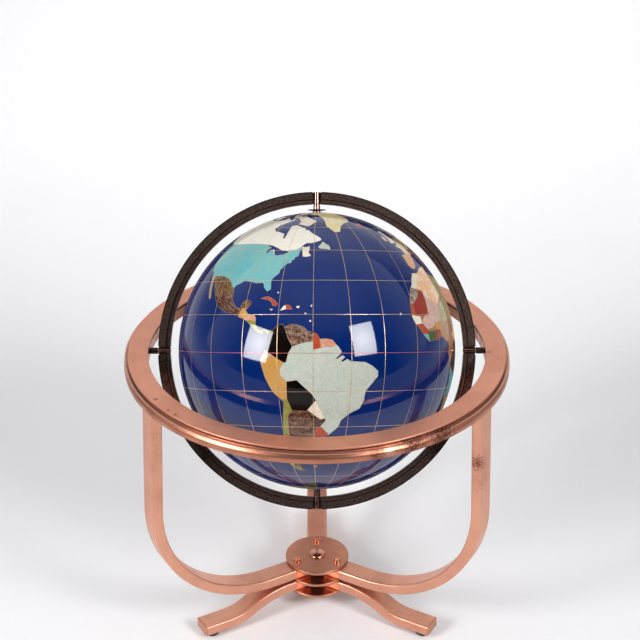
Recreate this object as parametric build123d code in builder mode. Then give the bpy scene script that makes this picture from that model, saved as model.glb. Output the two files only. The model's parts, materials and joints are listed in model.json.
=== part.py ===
"""Gemstone desk globe in a gimbal ring, on a three-legged stand.

Millimetres, +Z up. The origin is on the table, under the middle of the horizon ring.
The globe spins on its polar axis inside the meridian ring, and the meridian ring
turns on two side pins inside the horizon ring. The viewer stands on the -Y side.
"""

import os
from math import acos, asin, cos, degrees, radians, sin, sqrt, tan

from build123d import *

os.makedirs("parts", exist_ok=True)

# ---------------------------------------------------------------- driving sizes
globe_diameter = 330.0
pivot_height = 360.0          # table to the gimbal pins
polar_lean = 28.3             # how far the polar axis leans back at rest, degrees
globe_turn = -58.5            # longitude that faces the viewer at rest, degrees

# globe ball
skin_thickness = 3.0          # stone and ocean layer
core_thickness = 4.0          # moulded half shells under it
glue_line = 0.2
band_thickness = 4.0
band_height = 26.0            # inner band that joins the half shells
bush_radius = 5.0
bush_depth = 16.0
bush_boss_height = 0.8
bush_boss_top_radius = 3.2

# meridian ring
meridian_gap = 8.5            # globe surface to the ring
meridian_width = 14.6         # radial
meridian_thickness = 12.0
meridian_step_width = 4.6     # thinner inner rim
meridian_step_depth = 1.4
meridian_wall = 1.5
connector_radius = 3.7
connector_slot = 10.0         # gap between quadrant ends, across a connector
tenon_thickness = 4.0
tenon_length = 8.0
tenon_clearance = 0.15

# pins
pin_radius = 2.5
running_clearance = 0.06
pin_fit = 0.03
axis_sleeve_radius = 4.0
cup_radius = 10.7
cup_thickness = 0.6
cup_rise = 1.6
pivot_sleeve_radius = 3.8
pivot_side_gap = 0.6          # meridian ring to the pivot sleeve
pivot_thread_radius = 2.0
thread_over_nut = 1.5
thrust_gap = 0.1
pin_end_gap = 1.0
sleeve_edge = 0.4
cup_flat_margin = 0.3
thread_clearance = 0.1
nut_width = 7.0               # across flats
nut_height = 3.2

# horizon ring
horizon_gap = 11.4            # meridian ring to the horizon ring
horizon_width = 29.0
horizon_height = 17.0
horizon_top_above_pins = 5.0
plate_thickness = 1.2
channel_wall = 2.0
channel_floor = 1.5
top_edge_height = 2.6         # plate and the wall under it, above the shadow groove
groove_recess = 1.2           # how far the groove goes in under the plate's edge
groove_width = 1.3
groove_depth = 5.7
lip_width = 2.6
lip_inset = 0.8               # lip behind the crowned band
lip_drop = 4.8                # lip top below the plate top
ledge_width = 2.4
quirk_drop = 6.0              # fine line round the outer face, below the plate top
quirk_size = 0.6
band_crown = 1.3
plate_edge = 0.8
lip_round = 0.4

# legs and feet: rectangular tube
tube_width = 26.0
tube_depth = 13.5
tube_wall = 1.5
tube_corner = 2.2
corner_least = 0.5            # inside corners of the tube
leg_top_inset = 12.4          # leg centre line inside the horizon ring's outer edge
leg_splay = 2.1               # degrees
leg_bend_radius = 150.0
arm_height = 52.5             # table to the middle of the level arms
arm_end_radius = 17.0         # inner ends of arms and feet
foot_knee_radius = 45.0
foot_bend_radius = 110.0
toe_bend_radius = 60.0
foot_reach = 165.0
plug_length = 22.0
plug_clearance = 0.1
leg_screw_radius = 3.0
leg_screw_length = 16.0
leg_screw_head_radius = 4.8
leg_screw_head_height = 3.6
cap_thickness = 2.0
cap_spigot = 8.0

# hub
disc_radius = 40.0
disc_thickness = 4.0
hub_bolt_radius = 4.0
hub_screw_radius = 2.5
hub_screw_circle = 29.0
hub_nut_width = 13.0
hub_nut_height = 6.5
hub_head_radius = 10.0
hub_head_rise = 4.5
hub_screw_head_radius = 4.6
hub_screw_head_height = 3.2
hex_socket_radius = 1.6
hex_socket_depth = 1.6
disc_edge = 1.0

# feet pads
pad_radius = 9.5
pad_height = 6.0
pad_circle = 152.0
pad_stem_radius = 3.0
pad_stem_over = 1.5
pad_edge = 0.8

# ---------------------------------------------------------------- worked-out sizes
globe_radius = globe_diameter / 2
core_radius = globe_radius - skin_thickness - glue_line
meridian_inner = globe_radius + meridian_gap
meridian_outer = meridian_inner + meridian_width
horizon_inner = meridian_outer + horizon_gap
horizon_outer = horizon_inner + horizon_width
horizon_top = pivot_height + horizon_top_above_pins
horizon_bottom = horizon_top - horizon_height
pin_bore = pin_radius + running_clearance

lean_sin = sin(radians(polar_lean))
lean_cos = cos(radians(polar_lean))
gimbal_centre = Vector(0, 0, pivot_height)
polar_direction = Vector(0, lean_sin, lean_cos)
ring_normal = Vector(0, -lean_cos, lean_sin)
polar_axis = Axis(gimbal_centre, polar_direction)
ring_axis = Axis(gimbal_centre, ring_normal)

ring_plane = Plane(gimbal_centre, x_dir=(1, 0, 0), z_dir=ring_normal)
ring_section = Plane(gimbal_centre, x_dir=(1, 0, 0), z_dir=-polar_direction)
upright_section = Plane.XZ

leg_azimuths = {"back": 90, "left": 210, "right": 330}
cut_over = 1.0                # cutters pass the surface they cut by this much
edge_reach = 0.01             # half height of the slice that picks edges by height


def save(builder, name):
    """Label a finished piece and write its STEP file."""
    builder.part.label = name
    export_step(builder.part, f"parts/{name}.step")


def pole_plane(side, distance):
    """Plane across the polar axis, facing away from the globe; side is +1 north, -1 south."""
    origin = gimbal_centre + polar_direction * (side * distance)
    return Plane(origin, x_dir=(1, 0, 0), z_dir=polar_direction * side)


def side_plane(side, distance):
    """Plane across the side pins, facing away from the globe; side is +1 right, -1 left."""
    return Plane((side * distance, 0, pivot_height), x_dir=(0, 0, 1), z_dir=(side, 0, 0))


def radial_plane(azimuth):
    """Upright plane through the middle: x is the radius at that azimuth, y is height."""
    out = Vector(cos(radians(azimuth)), sin(radians(azimuth)), 0)
    return Plane((0, 0, 0), x_dir=out, z_dir=out.cross(Vector(0, 0, 1)))


def spot_plane(azimuth, radius, height):
    """Level plane at one spot beside a leg, its x pointing outwards."""
    out = Vector(cos(radians(azimuth)), sin(radians(azimuth)), 0)
    return Plane(out * radius + Vector(0, 0, height), x_dir=out, z_dir=(0, 0, 1))


def rod(plane, radius, length):
    """Round rod in the current part, from a plane along its normal."""
    with BuildSketch(plane) as section:
        Circle(radius)
    extrude(section.sketch, amount=length)


def bore(plane, radius, length):
    """Round hole in the current part, from a plane along its normal."""
    with BuildSketch(plane) as section:
        Circle(radius)
    extrude(section.sketch, amount=length, mode=Mode.SUBTRACT)


# ---------------------------------------------------------------- globe ball
def half_shell(side, outer_radius, inner_radius, hole_radius):
    """One hemisphere of a shell, with a hole at its pole."""
    outer_pole = sqrt(outer_radius**2 - hole_radius**2) * side
    inner_pole = sqrt(inner_radius**2 - hole_radius**2) * side
    bulge = radians(45)
    with BuildSketch(ring_plane) as profile:
        with BuildLine():
            outer_mid = (outer_radius * cos(bulge), outer_radius * sin(bulge) * side)
            inner_mid = (inner_radius * cos(bulge), inner_radius * sin(bulge) * side)
            ThreePointArc((outer_radius, 0), outer_mid, (hole_radius, outer_pole))
            Line((hole_radius, outer_pole), (hole_radius, inner_pole))
            ThreePointArc((hole_radius, inner_pole), inner_mid, (inner_radius, 0))
            Line((inner_radius, 0), (outer_radius, 0))
        make_face()
    revolve(profile.sketch, axis=polar_axis)


for side, pole in ((1, "north"), (-1, "south")):
    with BuildPart() as globe_core:
        half_shell(side, core_radius, core_radius - core_thickness, bush_radius + pin_fit)
    save(globe_core, f"globe_core_{pole}")

    with BuildPart() as pole_bush:
        rod(pole_plane(side, globe_radius - bush_depth), bush_radius, bush_depth)
        with BuildSketch(pole_plane(side, globe_radius)):
            Circle(bush_radius)
        with BuildSketch(pole_plane(side, globe_radius + bush_boss_height)):
            Circle(bush_boss_top_radius)
        loft()
        bore(pole_plane(side, globe_radius - bush_depth), pin_bore, bush_depth + bush_boss_height)
    save(pole_bush, f"pole_bush_{pole}")

with BuildPart() as equator_band:
    band_outer = core_radius - core_thickness - glue_line
    band_inner = band_outer - band_thickness
    band_edge = sqrt(band_outer**2 - (band_height / 2) ** 2)
    with BuildSketch(ring_plane):
        with BuildLine():
            ThreePointArc((band_edge, -band_height / 2), (band_outer, 0), (band_edge, band_height / 2))
            Polyline(
                (band_edge, band_height / 2),
                (band_inner, band_height / 2),
                (band_inner, -band_height / 2),
                (band_edge, -band_height / 2),
            )
        make_face()
    revolve(axis=polar_axis)
save(equator_band, "equator_band")

# Land outlines as longitude and latitude, coarse, one stone panel for each
land_outlines = {
    "north_america": [
        (-167, 66), (-156, 71), (-128, 70), (-108, 68), (-95, 70), (-86, 67), (-94, 59), (-82, 55),
        (-79, 51), (-77, 61), (-65, 60), (-56, 52), (-65, 45), (-70, 42), (-76, 36), (-81, 31),
        (-80, 26), (-84, 30), (-90, 29), (-97, 27), (-96, 19), (-91, 18), (-87, 21), (-88, 16),
        (-83, 15), (-82, 9), (-86, 11), (-95, 16), (-105, 20), (-110, 25), (-117, 33), (-124, 40),
        (-124, 48), (-134, 58), (-150, 60), (-163, 55), (-157, 59), (-165, 61),
    ],
    "south_america": [
        (-77, 8), (-72, 12), (-62, 10), (-51, 4), (-48, -1), (-35, -6), (-39, -14), (-41, -22),
        (-48, -27), (-53, -33), (-58, -38), (-65, -42), (-66, -48), (-69, -54), (-75, -50),
        (-73, -40), (-70, -18), (-76, -14), (-81, -5), (-78, 2),
    ],
    "greenland": [
        (-45, 60), (-41, 65), (-22, 70), (-19, 76), (-22, 81), (-35, 83), (-58, 81), (-70, 77),
        (-58, 75), (-53, 67),
    ],
    "africa": [
        (-6, 35), (10, 37), (11, 33), (20, 31), (33, 31), (37, 20), (43, 11), (51, 12), (41, -2),
        (40, -14), (35, -22), (31, -29), (26, -34), (18, -34), (12, -17), (13, -6), (9, 4),
        (-7, 5), (-13, 9), (-17, 15), (-17, 21), (-10, 30),
    ],
    "eurasia": [
        (-9, 37), (-9, 43), (-2, 44), (-4, 48), (3, 51), (8, 54), (11, 56), (19, 54), (23, 59),
        (30, 60), (22, 61), (24, 66), (17, 61), (12, 56), (6, 59), (14, 67), (26, 71), (41, 66),
        (55, 69), (70, 73), (105, 77), (130, 71), (160, 70), (178, 67), (177, 62), (163, 60),
        (157, 51), (156, 61), (138, 54), (131, 43), (127, 38), (121, 39), (121, 29), (109, 21),
        (106, 10), (102, 13), (103, 2), (98, 9), (94, 17), (88, 21), (80, 15), (77, 8), (72, 20),
        (66, 25), (57, 27), (49, 30), (57, 24), (59, 21), (45, 13), (39, 21), (36, 31), (36, 36),
        (27, 37), (27, 41), (19, 40), (13, 45), (17, 40), (10, 44), (3, 43),
    ],
    "australia": [
        (114, -22), (122, -18), (130, -12), (136, -12), (140, -17), (142, -11), (146, -19),
        (153, -26), (150, -37), (144, -38), (136, -34), (130, -32), (118, -35),
    ],
    "antarctica": [
        (-60, -64), (-68, -70), (-75, -74), (-100, -73), (-130, -74), (-155, -78), (170, -78),
        (165, -71), (140, -67), (110, -66), (80, -68), (55, -67), (20, -70), (-10, -71),
        (-35, -78), (-62, -75),
    ],
}
land_middles = {
    "north_america": (-100, 45), "south_america": (-60, -18), "greenland": (-40, 72),
    "africa": (18, 5), "eurasia": (75, 45), "australia": (134, -25), "antarctica": (0, -90),
}
wedge_depth = 0.9             # a wedge starts this far out towards the stone layer


def globe_direction(longitude, latitude):
    """Unit vector from the globe's middle to a place on its surface, as the globe rests."""
    turn = radians(longitude - globe_turn)
    level = cos(radians(latitude))
    right = Vector(1, 0, 0) * (level * sin(turn))
    front = ring_normal * (level * cos(turn))
    return right + front + polar_direction * sin(radians(latitude))


def land_wedge(outline, middle):
    """Wedge from near the globe's middle through an outline on its surface."""
    axis = globe_direction(*middle)
    rays = [globe_direction(*place) for place in outline]
    spread = min(ray.dot(axis) for ray in rays)
    sections = []
    wedge_start = wedge_depth * spread * (globe_radius - skin_thickness)
    for distance in (wedge_start, globe_radius + cut_over):
        level = Plane(gimbal_centre + axis * distance, z_dir=axis)
        hits = [gimbal_centre + ray * (distance / ray.dot(axis)) for ray in rays]
        corners = [level.to_local_coords(hit) for hit in hits]
        with BuildSketch(level) as section:
            with BuildLine():
                Polyline(*[(corner.X, corner.Y) for corner in corners], close=True)
            make_face()
        sections.append(section.sketch)
    loft(sections, ruled=True)


def skin_shell():
    """The whole stone layer as one hollow ball, open at the poles."""
    for half in (1, -1):
        half_shell(half, globe_radius, globe_radius - skin_thickness, bush_radius + pin_fit)


with BuildPart() as skin_blank:
    skin_shell()

land_cutters = []
for land, outline in land_outlines.items():
    with BuildPart() as cutter:
        land_wedge(outline, land_middles[land])
    land_cutters.append(cutter.part)
    with BuildPart() as inlay:
        add(skin_blank.part)
        add(cutter.part, mode=Mode.INTERSECT)
    save(inlay, f"inlay_{land}")

with BuildPart() as ocean_shell:
    add(skin_blank.part)
    for cutter_part in land_cutters:
        add(cutter_part, mode=Mode.SUBTRACT)
save(ocean_shell, "ocean_shell")

# ---------------------------------------------------------------- meridian ring
half_thick = meridian_thickness / 2
rim_thick = half_thick - meridian_step_depth
step_radius = meridian_inner + meridian_step_width

with BuildPart() as whole_meridian:
    with BuildSketch(ring_section):
        Polygon(
            (meridian_inner, -rim_thick),
            (step_radius, -rim_thick),
            (step_radius, -half_thick),
            (meridian_outer, -half_thick),
            (meridian_outer, half_thick),
            (step_radius, half_thick),
            (step_radius, rim_thick),
            (meridian_inner, rim_thick),
            align=None,
        )
        offset(amount=-meridian_wall, kind=Kind.INTERSECTION, mode=Mode.SUBTRACT)
    revolve(axis=ring_axis)

quadrants = {
    "upper_right": (1, 1), "upper_left": (-1, 1), "lower_left": (-1, -1), "lower_right": (1, -1),
}
for quadrant, (across, up) in quadrants.items():
    with BuildPart() as meridian_arc:
        add(whole_meridian.part)
        reach = meridian_outer + cut_over
        middle = (connector_slot / 2 + reach) / 2
        with BuildSketch(ring_plane.offset(-meridian_thickness)):
            with Locations((across * middle, up * middle)):
                Rectangle(reach - connector_slot / 2, reach - connector_slot / 2)
        extrude(amount=2 * meridian_thickness, mode=Mode.INTERSECT)
    save(meridian_arc, f"meridian_arc_{quadrant}")


def ring_section_at(turn):
    """Plane across the meridian ring, turned from the right pin: x outwards, y to the front."""
    out = Vector(1, 0, 0) * cos(radians(turn)) + polar_direction * sin(radians(turn))
    return Plane(gimbal_centre, x_dir=out, z_dir=out.cross(ring_normal))


def connector(plane, turn):
    """Tube between two quadrant ends, with a tenon into each of them."""
    tenon_span = degrees((connector_slot + 2 * tenon_length) / meridian_inner)
    inner = meridian_inner + meridian_wall + tenon_clearance
    outer = meridian_outer - meridian_wall - tenon_clearance
    with BuildSketch(ring_section_at(turn - tenon_span / 2)) as section:
        with Locations(((inner + outer) / 2, 0)):
            Rectangle(outer - inner, tenon_thickness)
    revolve(section.sketch, axis=ring_axis, revolution_arc=tenon_span)
    rod(plane, connector_radius, meridian_width)
    bore(plane, pin_bore, meridian_width)


connectors = {
    "right": (side_plane(1, meridian_inner), 0),
    "north": (pole_plane(1, meridian_inner), 90),
    "left": (side_plane(-1, meridian_inner), 180),
    "south": (pole_plane(-1, meridian_inner), 270),
}
for place, (plane, turn) in connectors.items():
    with BuildPart() as ring_connector:
        connector(plane, turn)
    save(ring_connector, f"ring_connector_{place}")

# ---------------------------------------------------------------- polar axis pins
boss_top = globe_radius + bush_boss_height
thrust_height = boss_top + thrust_gap
sleeve_top = meridian_inner - thrust_gap

for side, pole in ((1, "north"), (-1, "south")):
    with BuildPart() as axis_pin:
        pin_start = globe_radius - bush_depth + pin_end_gap
        rod(pole_plane(side, pin_start), pin_radius, meridian_outer - pin_end_gap - pin_start)
    save(axis_pin, f"axis_pin_{pole}")

    sleeve_seat = thrust_height + (cup_thickness + pin_fit if side > 0 else 0)
    with BuildPart() as axis_sleeve:
        rod(pole_plane(side, sleeve_seat), axis_sleeve_radius, sleeve_top - sleeve_seat)
        bore(pole_plane(side, sleeve_seat), pin_radius + pin_fit, sleeve_top - sleeve_seat)
        fillet(axis_sleeve.edges().filter_by(GeomType.CIRCLE).group_by(SortBy.RADIUS)[-1], sleeve_edge)
    save(axis_sleeve, f"axis_sleeve_{pole}")

with BuildPart() as cup_washer:
    flat_radius = axis_sleeve_radius + cup_flat_margin
    with BuildSketch(ring_plane):
        with BuildLine():
            Polyline(
                (flat_radius, thrust_height + cup_thickness),
                (pin_radius + pin_fit, thrust_height + cup_thickness),
                (pin_radius + pin_fit, thrust_height),
                (flat_radius, thrust_height),
            )
            lower = TangentArc(
                (flat_radius, thrust_height), (cup_radius, thrust_height + cup_rise), tangent=(1, 0)
            )
            Line(lower @ 1, lower @ 1 + Vector(0, cup_thickness))
            TangentArc(
                (flat_radius, thrust_height + cup_thickness),
                (cup_radius, thrust_height + cup_thickness + cup_rise),
                tangent=(1, 0),
            )
        make_face()
    revolve(axis=polar_axis)
save(cup_washer, "cup_washer_north")

# ---------------------------------------------------------------- side pivots
thread_end = horizon_inner + channel_wall + nut_height + thread_over_nut
pivot_sleeve_start = meridian_outer + pivot_side_gap
pivot_sleeve_end = sqrt(horizon_inner**2 - pivot_sleeve_radius**2) - pin_fit

for side, name in ((1, "right"), (-1, "left")):
    with BuildPart() as pivot_pin:
        pin_start = meridian_inner + pin_end_gap
        shoulder = horizon_inner - pin_fit
        rod(side_plane(side, pin_start), pin_radius, shoulder - pin_start)
        rod(side_plane(side, shoulder), pivot_thread_radius, thread_end - shoulder)
    save(pivot_pin, f"pivot_pin_{name}")

    with BuildPart() as pivot_sleeve:
        length = pivot_sleeve_end - pivot_sleeve_start
        rod(side_plane(side, pivot_sleeve_start), pivot_sleeve_radius, length)
        bore(side_plane(side, pivot_sleeve_start), pin_radius + pin_fit, length)
    save(pivot_sleeve, f"pivot_sleeve_{name}")

    with BuildPart() as pivot_nut:
        with BuildSketch(side_plane(side, horizon_inner + channel_wall + pin_fit)):
            RegularPolygon(nut_width / 2, 6, major_radius=False, rotation=30)
            Circle(pivot_thread_radius + pin_fit, mode=Mode.SUBTRACT)
        extrude(amount=nut_height)
    save(pivot_nut, f"pivot_nut_{name}")

# ---------------------------------------------------------------- horizon ring
lip_outer = horizon_outer - lip_inset
plate_outer = lip_outer - lip_width - groove_width
recess_radius = plate_outer - groove_recess
ledge_inner = plate_outer - ledge_width
plate_under = horizon_top - plate_thickness
band_edge_radius = horizon_outer - band_crown
quirk_top = horizon_top - quirk_drop
leg_centre_top = horizon_outer - leg_top_inset

with BuildPart() as horizon_top_plate:
    with BuildSketch(Plane.XY.offset(plate_under)):
        Circle(plate_outer)
        Circle(horizon_inner, mode=Mode.SUBTRACT)
    extrude(amount=plate_thickness)
    fillet(horizon_top_plate.faces().sort_by(Axis.Z)[-1].edges(), plate_edge)
save(horizon_top_plate, "horizon_top_plate")

with BuildPart() as horizon_rim:
    with BuildSketch(upright_section) as rim_section:
        with BuildLine():
            band_top = (band_edge_radius, quirk_top - quirk_size)
            band_middle = (horizon_outer, (quirk_top - quirk_size + horizon_bottom) / 2)
            band_bottom = (band_edge_radius, horizon_bottom)
            ThreePointArc(band_top, band_middle, band_bottom)
            Polyline(
                band_bottom,
                (horizon_inner, horizon_bottom),
                (horizon_inner, plate_under),
                (horizon_inner + channel_wall, plate_under),
                (horizon_inner + channel_wall, horizon_bottom + channel_floor),
                (ledge_inner, horizon_bottom + channel_floor),
                (ledge_inner, plate_under),
                (plate_outer, plate_under),
                (plate_outer, horizon_top - top_edge_height),
                (recess_radius, horizon_top - top_edge_height),
                (recess_radius, horizon_top - groove_depth),
                (lip_outer - lip_width, horizon_top - groove_depth),
                (lip_outer - lip_width, horizon_top - lip_drop),
                (lip_outer, horizon_top - lip_drop),
                (lip_outer, quirk_top),
                (band_edge_radius - quirk_size, quirk_top),
                (band_edge_radius - quirk_size, quirk_top - quirk_size),
                band_top,
            )
        make_face()
        lip_corners = rim_section.vertices().filter_by_position(
            Axis.Y, horizon_top - lip_drop - edge_reach, horizon_top - lip_drop + edge_reach
        )
        fillet(lip_corners, lip_round)
    revolve(axis=Axis.Z)
    for side in (1, -1):
        wall_spot = side_plane(side, horizon_inner - cut_over)
        bore(wall_spot, pivot_thread_radius + thread_clearance, channel_wall + 2 * cut_over)
    for azimuth in leg_azimuths.values():
        floor_spot = spot_plane(azimuth, leg_centre_top, horizon_bottom)
        bore(floor_spot, leg_screw_radius + thread_clearance, channel_floor)
save(horizon_rim, "horizon_rim")

# ---------------------------------------------------------------- legs
bend_top = arm_height + leg_bend_radius * (1 + sin(radians(leg_splay)))
bend_radius_out = leg_centre_top + (horizon_bottom - bend_top) * tan(radians(leg_splay))
top_extra = tube_depth


def tube_outline(inset):
    """Rounded rectangle of the leg tube, shrunk all round by an inset."""
    corner = max(tube_corner - inset, corner_least)
    return RectangleRounded(tube_width - 2 * inset, tube_depth - 2 * inset, corner)


def leg_top_section(azimuth):
    """Plane across the leg's straight length, a little above the horizon ring's underside."""
    upright = radial_plane(azimuth)
    down = upright.x_dir * sin(radians(leg_splay)) - Vector(0, 0, 1) * cos(radians(leg_splay))
    lift = top_extra / cos(radians(leg_splay))
    origin = upright.x_dir * leg_centre_top + Vector(0, 0, horizon_bottom) - down * lift
    return Plane(origin, x_dir=upright.z_dir, z_dir=down)


for name, azimuth in leg_azimuths.items():
    with BuildPart() as leg:
        with BuildLine(radial_plane(azimuth)) as leg_line:
            rise = top_extra
            straight = Line(
                (leg_centre_top - rise * tan(radians(leg_splay)), horizon_bottom + rise),
                (bend_radius_out, bend_top),
            )
            bend = JernArc(straight @ 1, straight % 1, leg_bend_radius, -(90 + leg_splay))
            Line(bend @ 1, (arm_end_radius, arm_height))
        with BuildSketch(leg_top_section(azimuth)):
            tube_outline(0)
            with BuildSketch(leg_top_section(azimuth), mode=Mode.SUBTRACT):
                tube_outline(tube_wall)
        sweep(path=leg_line.line)
        split(bisect_by=Plane.XY.offset(horizon_bottom), keep=Keep.BOTTOM)
        for height in (arm_height - tube_depth / 2, arm_height + tube_depth / 2 - tube_wall):
            screw_spot = spot_plane(azimuth, hub_screw_circle, height)
            bore(screw_spot, hub_screw_radius + thread_clearance, tube_wall)
    save(leg, f"leg_{name}")

with BuildPart() as leg_plugs:
    plug_inset = tube_wall + plug_clearance
    for azimuth in leg_azimuths.values():
        with BuildSketch(leg_top_section(azimuth)):
            tube_outline(plug_inset)
        extrude(amount=top_extra + plug_length)
    split(bisect_by=Plane.XY.offset(horizon_bottom), keep=Keep.BOTTOM)
    for azimuth in leg_azimuths.values():
        plug_spot = spot_plane(azimuth, leg_centre_top, horizon_bottom - leg_screw_length)
        bore(plug_spot, leg_screw_radius + thread_clearance, leg_screw_length)
save(leg_plugs, "leg_plugs")

with BuildPart() as leg_screws:
    head_seat = horizon_bottom + channel_floor
    for azimuth in leg_azimuths.values():
        screw_tip = horizon_bottom - leg_screw_length + thread_clearance
        rod(spot_plane(azimuth, leg_centre_top, screw_tip), leg_screw_radius, head_seat - screw_tip)
        rod(spot_plane(azimuth, leg_centre_top, head_seat), leg_screw_head_radius, leg_screw_head_height)
save(leg_screws, "leg_screws")

# ---------------------------------------------------------------- feet
foot_height = arm_height - tube_depth - disc_thickness
toe_height = pad_height + tube_depth / 2
foot_fall = foot_height - toe_height
foot_turn = degrees(acos(1 - foot_fall / (foot_bend_radius + toe_bend_radius)))
toe_tube_end = foot_reach - cap_thickness
pad_flange = tube_wall + pad_stem_over

for name, azimuth in leg_azimuths.items():
    with BuildPart() as foot:
        with BuildLine(radial_plane(azimuth)) as foot_line:
            straight = Line((arm_end_radius, foot_height), (foot_knee_radius, foot_height))
            knee = JernArc(straight @ 1, straight % 1, foot_bend_radius, -foot_turn)
            toe_bend = JernArc(knee @ 1, knee % 1, toe_bend_radius, foot_turn)
            Line(toe_bend @ 1, (toe_tube_end, toe_height))
        outwards = radial_plane(azimuth).x_dir
        foot_section = Plane(foot_line.line @ 0, x_dir=radial_plane(azimuth).z_dir, z_dir=outwards)
        with BuildSketch(foot_section):
            tube_outline(0)
            with BuildSketch(foot_section, mode=Mode.SUBTRACT):
                tube_outline(tube_wall)
        sweep(path=foot_line.line)
        bore(spot_plane(azimuth, pad_circle, pad_height), pad_stem_radius + thread_clearance, tube_wall)
        for height in (foot_height - tube_depth / 2, foot_height + tube_depth / 2 - tube_wall):
            screw_spot = spot_plane(azimuth, hub_screw_circle, height)
            bore(screw_spot, hub_screw_radius + thread_clearance, tube_wall)
    save(foot, f"foot_{name}")

with BuildPart() as foot_caps:
    for azimuth in leg_azimuths.values():
        upright = radial_plane(azimuth)
        toe = upright.x_dir * toe_tube_end + Vector(0, 0, toe_height)
        with BuildSketch(Plane(toe, x_dir=upright.z_dir, z_dir=upright.x_dir)):
            tube_outline(0)
        extrude(amount=cap_thickness)
        with BuildSketch(Plane(toe, x_dir=upright.z_dir, z_dir=-upright.x_dir)):
            tube_outline(plug_inset)
        extrude(amount=cap_spigot)
save(foot_caps, "foot_caps")

with BuildPart() as foot_pads:
    for azimuth in leg_azimuths.values():
        rod(spot_plane(azimuth, pad_circle, 0), pad_radius, pad_height)
        rod(spot_plane(azimuth, pad_circle, pad_height), pad_stem_radius, pad_flange)
    pad_rims = foot_pads.edges().filter_by_position(Axis.Z, -edge_reach, edge_reach)
    chamfer(pad_rims, pad_edge)
save(foot_pads, "foot_pads")

# ---------------------------------------------------------------- hub
top_disc_height = arm_height + tube_depth / 2
middle_disc_height = arm_height - tube_depth / 2 - disc_thickness
bottom_disc_height = foot_height - tube_depth / 2 - disc_thickness
top_disc_face = top_disc_height + disc_thickness

for name, height in (
    ("top", top_disc_height), ("middle", middle_disc_height), ("bottom", bottom_disc_height),
):
    with BuildPart() as hub_disc:
        rod(Plane.XY.offset(height), disc_radius, disc_thickness)
        rims = hub_disc.edges().filter_by(GeomType.CIRCLE)
        fillet(rims, disc_edge)
        bore(Plane.XY.offset(height), hub_bolt_radius + thread_clearance, disc_thickness)
        for azimuth in leg_azimuths.values():
            screw_spot = spot_plane(azimuth, hub_screw_circle, height)
            bore(screw_spot, hub_screw_radius + thread_clearance, disc_thickness)
    save(hub_disc, f"hub_disc_{name}")

with BuildPart() as hub_bolt:
    bolt_tip = bottom_disc_height - hub_nut_height - thread_over_nut
    rod(Plane.XY.offset(bolt_tip), hub_bolt_radius, top_disc_face - bolt_tip)
    with BuildSketch(upright_section):
        with BuildLine():
            dome_radius = (hub_head_radius**2 + hub_head_rise**2) / (2 * hub_head_rise)
            half_turn = asin(hub_head_radius / dome_radius) / 2
            dome_top = top_disc_face + hub_head_rise
            dome_middle = (dome_radius * sin(half_turn), dome_top - dome_radius * (1 - cos(half_turn)))
            Polyline((0, dome_top), (0, top_disc_face), (hub_head_radius, top_disc_face))
            ThreePointArc((hub_head_radius, top_disc_face), dome_middle, (0, dome_top))
        make_face()
    revolve(axis=Axis.Z)
save(hub_bolt, "hub_bolt")

with BuildPart() as hub_nut:
    with BuildSketch(Plane.XY.offset(bottom_disc_height - hub_nut_height)):
        RegularPolygon(hub_nut_width / 2, 6, major_radius=False)
        Circle(hub_bolt_radius + pin_fit, mode=Mode.SUBTRACT)
    extrude(amount=hub_nut_height)
save(hub_nut, "hub_nut")

with BuildPart() as hub_screws:
    for azimuth in leg_azimuths.values():
        screw_length = top_disc_face - bottom_disc_height
        rod(spot_plane(azimuth, hub_screw_circle, bottom_disc_height), hub_screw_radius, screw_length)
        head_seat = spot_plane(azimuth, hub_screw_circle, top_disc_face)
        rod(head_seat, hub_screw_head_radius, hub_screw_head_height)
        socket_floor = head_seat.offset(hub_screw_head_height - hex_socket_depth)
        bore(socket_floor, hex_socket_radius, hex_socket_depth)
save(hub_screws, "hub_screws")
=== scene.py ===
import json
import math

import bmesh
import bpy
import numpy as np
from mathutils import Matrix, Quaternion, Vector
from mathutils.geometry import delaunay_2d_cdt


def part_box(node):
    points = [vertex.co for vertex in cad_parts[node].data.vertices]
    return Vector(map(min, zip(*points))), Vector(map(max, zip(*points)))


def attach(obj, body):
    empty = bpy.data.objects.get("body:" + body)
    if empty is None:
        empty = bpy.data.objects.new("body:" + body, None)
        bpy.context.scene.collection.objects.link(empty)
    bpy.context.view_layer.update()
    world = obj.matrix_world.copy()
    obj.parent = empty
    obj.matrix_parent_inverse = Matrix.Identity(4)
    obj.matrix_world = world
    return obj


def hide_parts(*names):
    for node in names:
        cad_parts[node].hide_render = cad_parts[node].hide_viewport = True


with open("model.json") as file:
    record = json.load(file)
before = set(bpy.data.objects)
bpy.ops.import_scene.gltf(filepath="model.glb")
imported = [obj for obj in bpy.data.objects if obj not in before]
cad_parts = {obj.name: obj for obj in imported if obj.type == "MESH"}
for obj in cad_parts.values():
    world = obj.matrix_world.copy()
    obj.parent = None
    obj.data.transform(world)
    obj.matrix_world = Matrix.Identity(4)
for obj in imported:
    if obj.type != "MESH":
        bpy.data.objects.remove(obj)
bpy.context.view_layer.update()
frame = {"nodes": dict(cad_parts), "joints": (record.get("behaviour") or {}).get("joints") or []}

sceneNow = bpy.context.scene
nodes = frame["nodes"]
joints = {joint["name"]: joint for joint in frame["joints"]}
mm = 0.001
onePoint = 1e-7  # points closer than this are one

# the ball's own directions: its pole, the side pins and what faces the front
ballLow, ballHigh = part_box("ocean_shell")
ballRadius = (ballHigh.x - ballLow.x) / 2
centre = Vector(joints["globe_spin"]["pos_m"])
pole = Vector(joints["globe_spin"]["axis"]).normalized()
across = Vector((1, 0, 0))
front = across.cross(pole)


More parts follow.
